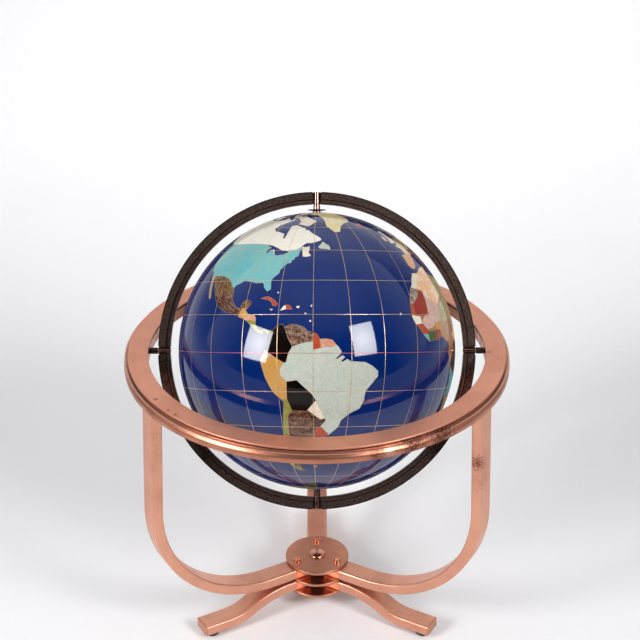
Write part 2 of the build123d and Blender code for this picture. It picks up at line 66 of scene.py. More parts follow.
def tone(red, green, blue):
    # screen values of 0 to 255, as linear light
    parts = [value / 255 for value in (red, green, blue)]
    return (*[v / 12.92 if v <= 0.04045 else ((v + 0.055) / 1.055) ** 2.4 for v in parts], 1.0)


# camera
camera = {"distance": 2.0, "elevation": 29.3, "lens": 94.7, "sensor": 36, "aimRight": 0.0037, "aimUp": 0.0363}


def makeCamera(spec):
    tilt = math.radians(spec["elevation"])
    back = Vector((0, -math.cos(tilt), math.sin(tilt)))
    up = Vector((0, math.sin(tilt), math.cos(tilt)))
    data = bpy.data.cameras.new("camera")
    data.lens = spec["lens"]
    data.sensor_width = spec["sensor"]
    holder = bpy.data.objects.new("camera", data)
    sceneNow.collection.objects.link(holder)
    holder.location = centre + back * spec["distance"]
    aim = centre + Vector((spec["aimRight"], 0, 0)) + up * spec["aimUp"]
    holder.rotation_euler = (aim - holder.location).to_track_quat("-Z", "Y").to_euler()
    sceneNow.camera = holder


makeCamera(camera)
sceneNow.view_settings.view_transform = "Standard"
print("camera set")


# node helpers, for shaders and for Geometry Nodes
def fill(node, inputs):
    # each input gets a link or a plain value
    for key, value in inputs.items():
        if isinstance(value, bpy.types.NodeSocket):
            node.id_data.links.new(value, node.inputs[key])
        else:
            node.inputs[key].default_value = value
    return node


def addNode(tree, kind, inputs=None, **settings):
    made = tree.nodes.new(kind if "Node" in kind else "ShaderNode" + kind)
    for key, value in settings.items():
        setattr(made, key, value)
    return fill(made, inputs or {})


def newTree(name, kind, inputs, outputs):
    # a socket is given by its type, or by the number that it starts at
    tree = bpy.data.node_groups.new(name, kind)
    for way, table in (("INPUT", inputs), ("OUTPUT", outputs)):
        for label, start in table.items():
            typed = isinstance(start, str)
            socket = tree.interface.new_socket(
                label, in_out=way, socket_type="NodeSocket" + (start if typed else "Float"),
            )
            if not typed:
                socket.default_value = start
    return tree, tree.nodes.new("NodeGroupInput").outputs, tree.nodes.new("NodeGroupOutput")


def addAfter(inputs, kind, **settings):
    # a node in the tree that its links come from
    tree = next(value.id_data for value in inputs.values() if isinstance(value, bpy.types.NodeSocket))
    return addNode(tree, kind, inputs, **settings).outputs


def maths(operation, first, second=0.0, clamp=False):
    return addAfter({0: first, 1: second}, "Math", operation=operation, use_clamp=clamp)[0]


def plus(first, second):
    return maths("ADD", first, second)


def minus(first, second):
    return maths("SUBTRACT", first, second)


def times(first, second):
    return maths("MULTIPLY", first, second)


def vectorMath(operation, first, second=(0, 0, 0)):
    return addAfter({0: first, 1: second}, "VectorMath", operation=operation)


def mixed(factor, first, second):
    return addAfter({0: factor, 6: first, 7: second}, "Mix", data_type="RGBA")[2]


def spread(value, low, high, newLow=0.0, newHigh=1.0):
    return addAfter({0: value, 1: low, 2: high, 3: newLow, 4: newHigh}, "MapRange")[0]


def parted(vector):
    return addAfter({0: vector}, "SeparateXYZ")


def joined(x, y, z):
    return addAfter({0: x, 1: y, 2: z}, "CombineXYZ")[0]


def onObject(tree):
    return addNode(tree, "TexCoord").outputs["Object"]


def attribute(tree, name):
    return parted(addNode(tree, "Attribute", attribute_name=name).outputs["Vector"])


def noiseOf(vector, scale, detail=3.0, rough=0.55, distortion=0.0, turn=None):
    inputs = {
        "Vector": vector, "Scale": scale, "Detail": detail, "Roughness": rough, "Distortion": distortion,
    }
    if turn is None:
        return addAfter(inputs, "TexNoise")["Fac"]
    return addAfter({**inputs, "W": turn}, "TexNoise", noise_dimensions="4D")["Fac"]


# shader groups
def stoneGroup():
    # polished stone: two body colours in soft patches, thin veins and fine speckle
    tree, given, result = newTree("stoneBody", "ShaderNodeTree", {
        "Base": "Color", "Second": "Color", "Vein": "Color", "Patch Scale": 60.0, "Patch Amount": 0.5,
        "Patch Edge": 0.2, "Vein Scale": 80.0, "Vein Amount": 0.3, "Vein Width": 0.06, "Speckle Scale": 900.0,
        "Speckle Amount": 0.2, "Shift": 0.0, "Streak": 1.0, "Streak Lean": 0.0, "Third": "Color",
        "Third Scale": 60.0, "Third Amount": 0.0, "Depth": 0.64,
    }, {"Color": "Color", "Roughness": "Float"})
    # streaked stone is squeezed across its own bedding, which leans from level
    x, y, z = parted(onObject(tree))
    rise = plus(z, times(x, given["Streak Lean"]))
    moved = joined(plus(x, given["Shift"]), y, times(rise, given["Streak"]))
    patches = noiseOf(moved, given["Patch Scale"], 5.0, distortion=0.6)
    low, high = minus(0.5, given["Patch Edge"]), plus(0.5, given["Patch Edge"])
    patchMask = times(spread(patches, low, high), given["Patch Amount"])
    body = mixed(patchMask, given["Base"], given["Second"])
    clouds = spread(noiseOf(moved, given["Third Scale"], 4.0, distortion=1.0), 0.5, 0.6)
    body = mixed(times(clouds, given["Third Amount"]), body, given["Third"])
    veins = noiseOf(moved, given["Vein Scale"], 4.0, distortion=1.5)
    ridge = maths("ABSOLUTE", minus(veins, 0.5))
    veinMask = spread(ridge, 0.0, given["Vein Width"], 1.0, 0.0)
    veined = mixed(times(veinMask, given["Vein Amount"]), body, given["Vein"])
    grain = noiseOf(moved, given["Speckle Scale"], 3.0, 0.7)
    lift = times(minus(grain, 0.5), given["Speckle Amount"])
    shade = plus(given["Depth"], times(lift, 1.3))
    tinted = addAfter({0: veined, "Scale": shade}, "VectorMath", operation="SCALE")[0]
    fill(result, {"Color": tinted, "Roughness": spread(grain, 0.3, 0.7, 0.025, 0.06)})
    return tree


def metalGroup():
    # plated metal: brush lines that follow the piece, tarnish in patches and pits; stains, rubbed marks and
    # painted highlights are laid on in each material
    tree, given, result = newTree("metalSkin", "ShaderNodeTree", {
        "Base": "Color", "Bright": "Color", "Dark": "Color", "Brush Scale": 1400.0, "Brush Stretch": 12.0,
        "Brush Amount": 0.4, "Tarnish Scale": 30.0, "Tarnish Amount": 0.25, "Pit Scale": 450.0,
        "Pit Amount": 0.2, "Sheen": 0.3,
    }, {"Color": "Color", "Roughness": "Float", "Height": "Float"})
    section, run = attribute(tree, "section"), attribute(tree, "run")
    brushPlace = joined(
        times(section[0], given["Brush Scale"]), times(section[1], given["Brush Scale"]),
        times(run[0], given["Brush Stretch"]),
    )
    brush = noiseOf(brushPlace, 1.0, 4.0, 0.65, turn=times(run[1], given["Brush Stretch"]))
    place = onObject(tree)
    tarnish = noiseOf(place, given["Tarnish Scale"], 5.0, distortion=0.4)
    pits = noiseOf(place, given["Pit Scale"])
    where = noiseOf(place, times(given["Tarnish Scale"], 0.6), 2.0)
    brushMask = times(spread(brush, 0.3, 0.7), given["Brush Amount"])
    tarnishMask = times(spread(tarnish, 0.42, 0.72), given["Tarnish Amount"])
    pitMask = times(spread(pits, 0.62, 0.7), spread(where, 0.5, 0.65))
    pitMask = times(pitMask, given["Pit Amount"])
    lit = mixed(brushMask, given["Base"], given["Bright"])
    aged = mixed(tarnishMask, lit, given["Dark"])
    rough = plus(given["Sheen"], times(minus(brush, 0.5), 0.25))
    rough = plus(rough, times(tarnishMask, 0.25))
    fill(result, {
        "Color": mixed(pitMask, aged, given["Dark"]),
        "Roughness": maths("ADD", rough, times(pitMask, 0.3), True),
        "Height": minus(brush, times(pitMask, 1.5)),
    })
    return tree


def stainAndHighlightGroup():
    # a ragged place of a given size round one point of the object, for stains and rubbed marks and for
    # painted highlights
    tree, given, result = newTree("rubbedPlace", "ShaderNodeTree", {
        "Middle": "Vector", "Reach": 0.02, "Ragged": 0.6,
    }, {"Mask": "Float"})
    place = onObject(tree)
    away = vectorMath("SUBTRACT", place, given["Middle"])[0]
    distance = vectorMath("LENGTH", away)["Value"]
    near = spread(maths("DIVIDE", distance, given["Reach"]), 0.15, 1.0, 0.8, 0.0)
    fine = times(noiseOf(place, 1300.0), 1.4)
    ragged = minus(plus(noiseOf(place, 420.0, 4.0), fine), 1.2)
    lifted = times(ragged, times(given["Ragged"], 2.6))
    fill(result, {"Mask": spread(plus(near, lifted), 0.45, 0.85)})
    return tree


def paintedLineGroup():
    # a soft line of painted shade or painted highlight at one height or distance of a swept section, broken
    # up a little
    tree, given, result = newTree("edgeLine", "ShaderNodeTree", {
        "Upright": 0.0, "At": 0.0, "Width": 0.0005, "Broken": 0.25,
    }, {"Mask": "Float"})
    section = attribute(tree, "section")
    value = addAfter({0: given["Upright"], 2: section[1], 3: section[0]}, "Mix", data_type="FLOAT")[0]
    away = maths("ABSOLUTE", minus(value, given["At"]))
    line = spread(maths("DIVIDE", away, given["Width"]), 0.4, 1.0, 1.0, 0.0)
    lineGaps = spread(noiseOf(onObject(tree), 320.0, 4.0), 0.4, 0.65)
    fill(result, {"Mask": times(line, minus(1.0, times(lineGaps, given["Broken"])))})
    return tree


stoneBody, metalSkin, rubbedPlace, edgeLine = stoneGroup(), metalGroup(), stainAndHighlightGroup(), paintedLineGroup()
print("shader groups built")


# materials
def newMaterial(name, shader):
    material = bpy.data.materials.new(name)
    material.use_nodes = True
    tree = material.node_tree
    return material, tree, fill(tree.nodes["Principled BSDF"], shader)


def labelled(prefix, labels, values):
    # the first values of a family of inputs, such as Patch Scale and Patch Amount
    return {prefix + " " + label: value for label, value in zip(labels.split(), values)}


def stoneMaterial(name, shift, base, second, vein, patches, veins, speckle, more=None):
    material, tree, surface = newMaterial(name, {"IOR": 1.5})
    stone = addNode(tree, "Group", {
        "Base": tone(*base), "Second": tone(*second), "Third": tone(*second), "Vein": tone(*vein),
        "Shift": shift, **labelled("Patch", "Scale Amount Edge", patches),
        **labelled("Vein", "Scale Amount Width", veins), **labelled("Speckle", "Scale Amount", speckle),
        **(more or {}),
    }, node_tree=stoneBody).outputs
    # the polish over the stones is less glossy where it is seen edge on
    facing = addNode(tree, "LayerWeight", {"Blend": 0.5}).outputs["Facing"]
    edge = spread(facing, 0.82, 0.9, 0.0, 0.95)
    rough = spread(edge, 0.0, 1.0, stone["Roughness"], 0.8)
    fill(surface, {"Base Color": stone["Color"], "Roughness": rough})
    return material


def metalMaterial(
    name, base, bright, dark, bump, brush=(), tarnish=(), pits=(), sheen=0.3, metallic=1.0, stainsAndHighlights=(), edges=(),
):
    material, tree, surface = newMaterial(name, {"Metallic": metallic})
    metal = addNode(tree, "Group", {
        "Base": tone(*base), "Bright": tone(*bright), "Dark": tone(*dark), "Sheen": sheen,
        **labelled("Brush", "Scale Stretch Amount", brush), **labelled("Tarnish", "Scale Amount", tarnish),
        **labelled("Pit", "Scale Amount", pits),
    }, node_tree=metalSkin).outputs
    colour, rough = metal["Color"], metal["Roughness"]
    # edge lines are painted shade and painted highlights; placed marks are stains and rubbed marks, and
    # painted highlights
    marks = [
        (edgeLine, {"Upright": upright, "At": at * mm, "Width": width * mm}, markTone, markRough)
        for upright, at, width, markTone, markRough in edges
    ]
    marks += [
        (rubbedPlace, {"Middle": middle, "Reach": reach}, markTone, markRough)
        for middle, reach, markTone, markRough in stainsAndHighlights
    ]
    for group, inputs, markTone, markRough in marks:
        mask = addNode(tree, "Group", inputs, node_tree=group).outputs["Mask"]
        colour = mixed(mask, colour, tone(*markTone))
        rough = spread(mask, 0.0, 1.0, rough, markRough)
    relief = addNode(tree, "Bump", {"Strength": bump, "Distance": 0.0001, "Height": metal["Height"]})
    fill(surface, {"Base Color": colour, "Roughness": rough, "Normal": relief.outputs[0]})
    return material


# mesh helpers
def linked(name, mesh):
    made = bpy.data.objects.new(name, mesh)
    sceneNow.collection.objects.link(made)
    return made


def plainMesh(name, points, edges=(), faces=()):
    mesh = bpy.data.meshes.new(name)
    mesh.from_pydata(points, edges, faces)
    return mesh


def fromWork(name, work):
    mesh = bpy.data.meshes.new(name)
    work.to_mesh(mesh)
    work.free()
    return linked(name, mesh)


def smoothed(mesh):
    mesh.polygons.foreach_set("use_smooth", [True] * len(mesh.polygons))


def straight(start, end, count):
    return [tuple(a + (b - a) * k / count for a, b in zip(start, end)) for k in range(count + 1)]


def arc(middle, radius, start, end, count):
    # angles in radians; both ends are included
    turns = [start + (end - start) * k / count for k in range(count + 1)]
    return [(middle[0] + radius * math.cos(turn), middle[1] + radius * math.sin(turn)) for turn in turns]


def rounded(points, radii, closed=True, turnStep=12):
    # the same line with its corners turned into arcs; a radius of 0 keeps a corner sharp
    result = []
    for index, point in enumerate(points):
        here = Vector(point)
        radius = radii[index] if isinstance(radii, (list, tuple)) else radii
        if radius == 0 or (not closed and index in (0, len(points) - 1)):
            result.append(here)
            continue
        before = (Vector(points[index - 1]) - here).normalized()
        after = (Vector(points[(index + 1) % len(points)]) - here).normalized()
        half = before.angle(after) / 2
        middle = here + (before + after).normalized() * (radius / math.sin(half))
        start = here + before * (radius / math.tan(half)) - middle
        end = here + after * (radius / math.tan(half)) - middle
        steps = max(2, math.ceil(math.degrees(math.pi - 2 * half) / turnStep))
        result += [middle + start.slerp(end, step / steps).normalized() * radius for step in range(steps + 1)]
    return result


def vectorAttribute(mesh, name, values):
    layer = mesh.attributes.new(name, "FLOAT_VECTOR", "POINT")
    layer.data.foreach_set("vector", np.array(values, float).ravel())


def lineObject(name, lines, closed=False):
    # loose lines with how far each point is along its line, wound on a circle so that ends meet
    points, edges, runs = [], [], []
    for line in lines:
        first = len(points)
        steps = [0.0]
        for here, there in zip(line, line[1:]):
            steps.append(steps[-1] + (Vector(there) - Vector(here)).length)
        whole = steps[-1] + ((Vector(line[0]) - Vector(line[-1])).length if closed else 0.0)
        wheel = whole / math.tau
        points += [tuple(point) for point in line]
        runs += [(math.cos(s / wheel) * wheel, math.sin(s / wheel) * wheel, s) for s in steps]
        edges += [(first + index - 1, first + index) for index in range(1, len(line))]
        if closed:
            edges.append((len(points) - 1, first))
    mesh = plainMesh(name, points, edges)
    vectorAttribute(mesh, "run", runs)
    return linked(name, mesh)


def profileObject(name, outline):
    flat = [(x * mm, y * mm, 0.0) for x, y in outline]
    mesh = plainMesh(name, flat, [(index, (index + 1) % len(flat)) for index in range(len(flat))])
    vectorAttribute(mesh, "section", flat)
    return linked(name, mesh)


def geometry(tree, kind, inputs=None, **settings):
    return addNode(tree, "GeometryNode" + kind, inputs, **settings).outputs[0]


def geometryTree(name, sockets):
    return newTree(name, "GeometryNodeTree", {"Geometry": "Geometry", **sockets}, {"Geometry": "Geometry"})


def endTree(tree, given, result, shape):
    whole = geometry(tree, "RealizeInstances", {"Geometry": shape})
    covered = {"Geometry": whole, "Material": given["Material"]}
    fill(result, {"Geometry": geometry(tree, "SetMaterial", covered)})
    return tree


def sweepTree():
    # a profile drawn along lines; its y points away from Centre
    tree, given, result = geometryTree(
        "sweptProfile", {"Profile": "Object", "Centre": "Vector", "Caps": "Bool", "Material": "Material"}
    )
    line = geometry(tree, "MeshToCurve", {"Mesh": given["Geometry"]})
    away = vectorMath("SUBTRACT", geometry(tree, "InputPosition"), given["Centre"])[0]
    side = vectorMath("CROSS_PRODUCT", away, geometry(tree, "InputTangent"))[0]
    side = vectorMath("NORMALIZE", side)[0]
    steered = geometry(tree, "SetCurveNormal", {"Curve": line, "Normal": side}, mode="FREE")
    shape = addNode(tree, "GeometryNodeObjectInfo", {"Object": given["Profile"]}).outputs["Geometry"]
    outline = geometry(tree, "MeshToCurve", {"Mesh": shape})
    swept = {"Curve": steered, "Profile Curve": outline, "Fill Caps": given["Caps"]}
    return endTree(tree, given, result, geometry(tree, "CurveToMesh", swept))


def repeatTree():
    # the same piece several times round an upright axis through the middle of the stand
    tree, given, result = geometryTree("roundTheStand", {"Count": "Int", "Material": "Material"})
    spots = geometry(tree, "Points", {"Count": given["Count"]})
    part = maths("DIVIDE", geometry(tree, "InputIndex"), given["Count"])
    turn = joined(0, 0, times(part, math.tau))
    copies = {"Points": spots, "Instance": given["Geometry"], "Rotation": turn}
    return endTree(tree, given, result, geometry(tree, "InstanceOnPoints", copies))


sweptProfile, roundTheStand = sweepTree(), repeatTree()


def baked(holder, name, extras=()):
    # the evaluated shape as a plain mesh on a new object; the makings are deleted
    graph = bpy.context.evaluated_depsgraph_get()
    shape = holder.evaluated_get(graph)
    mesh = bpy.data.meshes.new_from_object(shape, preserve_all_data_layers=True, depsgraph=graph)
    for old in (holder, *extras):
        bpy.data.objects.remove(old)
    mesh.name = name
    return linked(name, mesh)


def withTree(holder, tree, values):
    modifier = holder.modifiers.new(tree.name, "NODES")
    modifier.node_group = tree
    for item in tree.interface.items_tree:
        if item.in_out == "INPUT" and item.name in values:
            modifier[item.identifier] = values[item.name]


def cleaned(piece, sharp=40):
    # doubles merged, faces outwards, flat faces kept flat beside their rounded edges
    mesh = piece.data
    work = bmesh.new()
    work.from_mesh(mesh)
    bmesh.ops.remove_doubles(work, verts=work.verts, dist=onePoint)
    bmesh.ops.recalc_face_normals(work, faces=work.faces)
    work.to_mesh(mesh)
    work.free()
    smoothed(mesh)
    mesh.set_sharp_from_angle(angle=math.radians(sharp))
    piece.modifiers.new("weighted", "WEIGHTED_NORMAL").keep_sharp = True
    return baked(piece, piece.name)


def drawn(holder, name, outline, material, middle, caps=False):
    # the outline, in millimetres, drawn along the lines of a holder
    profile = profileObject(name + "Profile", outline)
    values = {"Profile": profile, "Centre": tuple(middle), "Caps": caps, "Material": material}
    withTree(holder, sweptProfile, values)
    return cleaned(baked(holder, name, [profile]))


def sweep(name, lines, outline, material, middle, closed=False):
    # an open line is closed by caps
    return drawn(lineObject(name + "Line", lines, closed), name, outline, material, middle, not closed)


def aroundStand(piece, material, count=3):
    withTree(piece, roundTheStand, {"Count": count, "Material": material})
    return baked(piece, piece.name)


def turned(name, outline, places, segments=48):
    # a piece of revolution at each start and axis, from an outline of radius and height in millimetres
    work = bmesh.new()
    sections = work.verts.layers.float_vector.new("section")
    runs = work.verts.layers.float_vector.new("run")
    for start, axis in places:
        axis = Vector(axis).normalized()
        side = axis.orthogonal().normalized()
        other = axis.cross(side)
        rings = []
        for radius, height in [(x * mm, y * mm) for x, y in outline]:
            ring = []
            for step in range(segments if radius > 0 else 1):
                angle = math.tau * step / segments
                way = side * math.cos(angle) + other * math.sin(angle)
                vert = work.verts.new(Vector(start) + axis * height + way * radius)
                vert[sections] = (radius, height, 0)
                vert[runs] = (radius * math.cos(angle), radius * math.sin(angle), 0)
                ring.append(vert)
            rings.append(ring)
        closes = outline[0][0] > 0 and outline[-1][0] > 0
        for low, high in zip(rings, rings[1:] + (rings[:1] if closes else [])):
            for step in range(segments):
                after = (step + 1) % segments
                corners = [low[step % len(low)], low[after % len(low)]]
                corners += [high[after % len(high)], high[step % len(high)]]
                corners = list(dict.fromkeys(corners))  # one fewer where a ring is a single point
                if len(corners) > 2:
                    work.faces.new(corners)
    return fromWork(name, work)


def dress(piece, material):
    piece.data.materials.clear()
    piece.data.materials.append(material)
    return piece


def finished(piece, material):
    return cleaned(dress(piece, material))


def seat(piece, body, slot, *replaced):
    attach(piece, body)
    if replaced:
        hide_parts(*replaced)
    print(piece.name, len(piece.data.polygons), "faces on", body)


def nodesNamed(*starts):
    return [name for name in nodes if name.startswith(starts)]


# stones of the ball
# each: shift; body, second and vein colours; patches as scale, amount and edge; veins as scale, amount and
# width; speckle as scale and amount; and more inputs of the group. What is left out stays as the group has it
stoneTable = {
    "ocean": (0, (4, 44, 120), (5, 38, 104), (18, 58, 132), (22, 0.6), (30, 0.12, 0.03), (900, 0.1)),
    "ivory": (
        0.3, (252, 250, 236), (250, 240, 222), (240, 214, 190), (40, 0.5), (80, 0.35), (900, 0.05),
        {"Depth": 0.74},
    ),
    "cream": (
        0.5, (252, 246, 228), (250, 226, 200), (240, 200, 168), (70, 0.7), (80, 0.3), (900, 0.06),
        {"Depth": 0.7},
    ),
    "turquoise": (0.7, (108, 202, 212), (136, 204, 202), (196, 214, 170), (45, 0.8), (120, 0.3), (900, 0.1)),
    "jasper": (
        1.1, (128, 86, 68), (86, 44, 34), (26, 17, 15), (120, 1.0, 0.05), (90, 0.95), (600, 0.9),
        {"Third": tone(178, 132, 104), "Third Scale": 110, "Third Amount": 0.7, "Streak": 2.4,
         "Streak Lean": 0.3},
    ),
    "heath": (
        1.5, (168, 136, 116), (116, 74, 58), (38, 27, 23), (140, 1.0, 0.05), (110, 0.9), (600, 0.8),
        {"Third": tone(202, 168, 140), "Third Scale": 120, "Third Amount": 0.7, "Streak": 2.0,
         "Streak Lean": 0.2},
    ),
    "fern": (
        1.2, (160, 136, 92), (116, 84, 56), (38, 28, 20), (260, 1.0, 0.06), (210, 0.9), (520, 0.9),
        {"Third": tone(164, 72, 48), "Third Scale": 230, "Third Amount": 0.55, "Streak": 1.2},
    ),
    "sand": (1.3, (214, 190, 150), (196, 160, 116), (160, 124, 84), (90, 0.8), (80, 0.3), (900, 0.2)),
    "golden": (1.7, (222, 164, 80), (230, 184, 116), (204, 120, 56), (55, 0.8), (80, 0.3), (900, 0.14)),
    "honey": (
        1.9, (255, 210, 158), (252, 186, 146), (246, 170, 116), (80, 0.9), (80, 0.4), (900, 0.08),
        {"Third": tone(255, 240, 218), "Third Scale": 70, "Third Amount": 0.85, "Depth": 0.74},
    ),
    "onyx": (2.3, (10, 10, 10), (18, 14, 13), (40, 16, 14), (50, 0.5), (80, 0.35, 0.12), (900, 0.2)),
    "mint": (
        2.9, (210, 220, 204), (224, 228, 218), (158, 190, 166), (42, 0.9), (120, 0.4), (700, 0.12),
        {"Third": tone(232, 222, 212), "Third Scale": 60, "Third Amount": 0.5},
    ),
    "citrine": (
        3.3, (238, 232, 180), (240, 210, 156), (226, 176, 108), (60, 0.8), (80, 0.4), (900, 0.16),
        {"Third": tone(212, 218, 158), "Third Scale": 70, "Third Amount": 0.7, "Depth": 0.84},
    ),
    "coral": (3.1, (204, 84, 52), (186, 66, 44), (226, 130, 90), (60, 0.7), (80, 0.25), (900, 0.16)),
    "red": (3.7, (178, 66, 54), (160, 50, 46), (206, 110, 92), (60, 0.7), (80, 0.2), (900, 0.16)),
    "rose": (
        4.1, (240, 196, 182), (246, 214, 202), (220, 150, 140), (60, 0.8), (80, 0.4), (900, 0.16),
        {"Third": tone(232, 186, 168), "Third Scale": 110, "Third Amount": 0.7},
    ),
    "reed": (
        4.5, (188, 180, 120), (210, 196, 146), (136, 142, 80), (100, 0.8), (80, 0.5), (900, 0.24),
        {"Third": tone(226, 208, 166), "Third Scale": 90, "Third Amount": 0.6},
    ),
    "blush": (4.3, (236, 168, 138), (244, 196, 166), (214, 110, 84), (110, 0.9), (80, 0.4), (900, 0.2)),
    "amber": (4.6, (246, 178, 116), (252, 206, 154), (226, 130, 84), (120, 0.9), (80, 0.4), (900, 0.2)),
    "olive": (4.7, (158, 152, 66), (178, 172, 92), (112, 104, 44), (90, 0.8), (80, 0.4), (900, 0.26)),
    "straw": (
        5.3, (252, 244, 204), (250, 226, 196), (222, 216, 140), (50, 0.8), (80, 0.3), (900, 0.06),
        {"Depth": 0.8},
    ),
    "ash": (5.9, (224, 208, 186), (158, 140, 124), (84, 66, 58), (160, 1.0, 0.1), (80, 0.6), (420, 0.5)),
    "moss": (6.1, (86, 98, 52), (112, 122, 74), (46, 52, 30), (120, 0.9), (80, 0.5), (900, 0.4)),
    "russet": (6.7, (196, 140, 96), (208, 158, 116), (150, 96, 62), (90, 0.9), (80, 0.4), (900, 0.24)),
}
stones = {name: stoneMaterial(name + "Stone", *row) for name, row in stoneTable.items()}
stoneNames = list(stones)

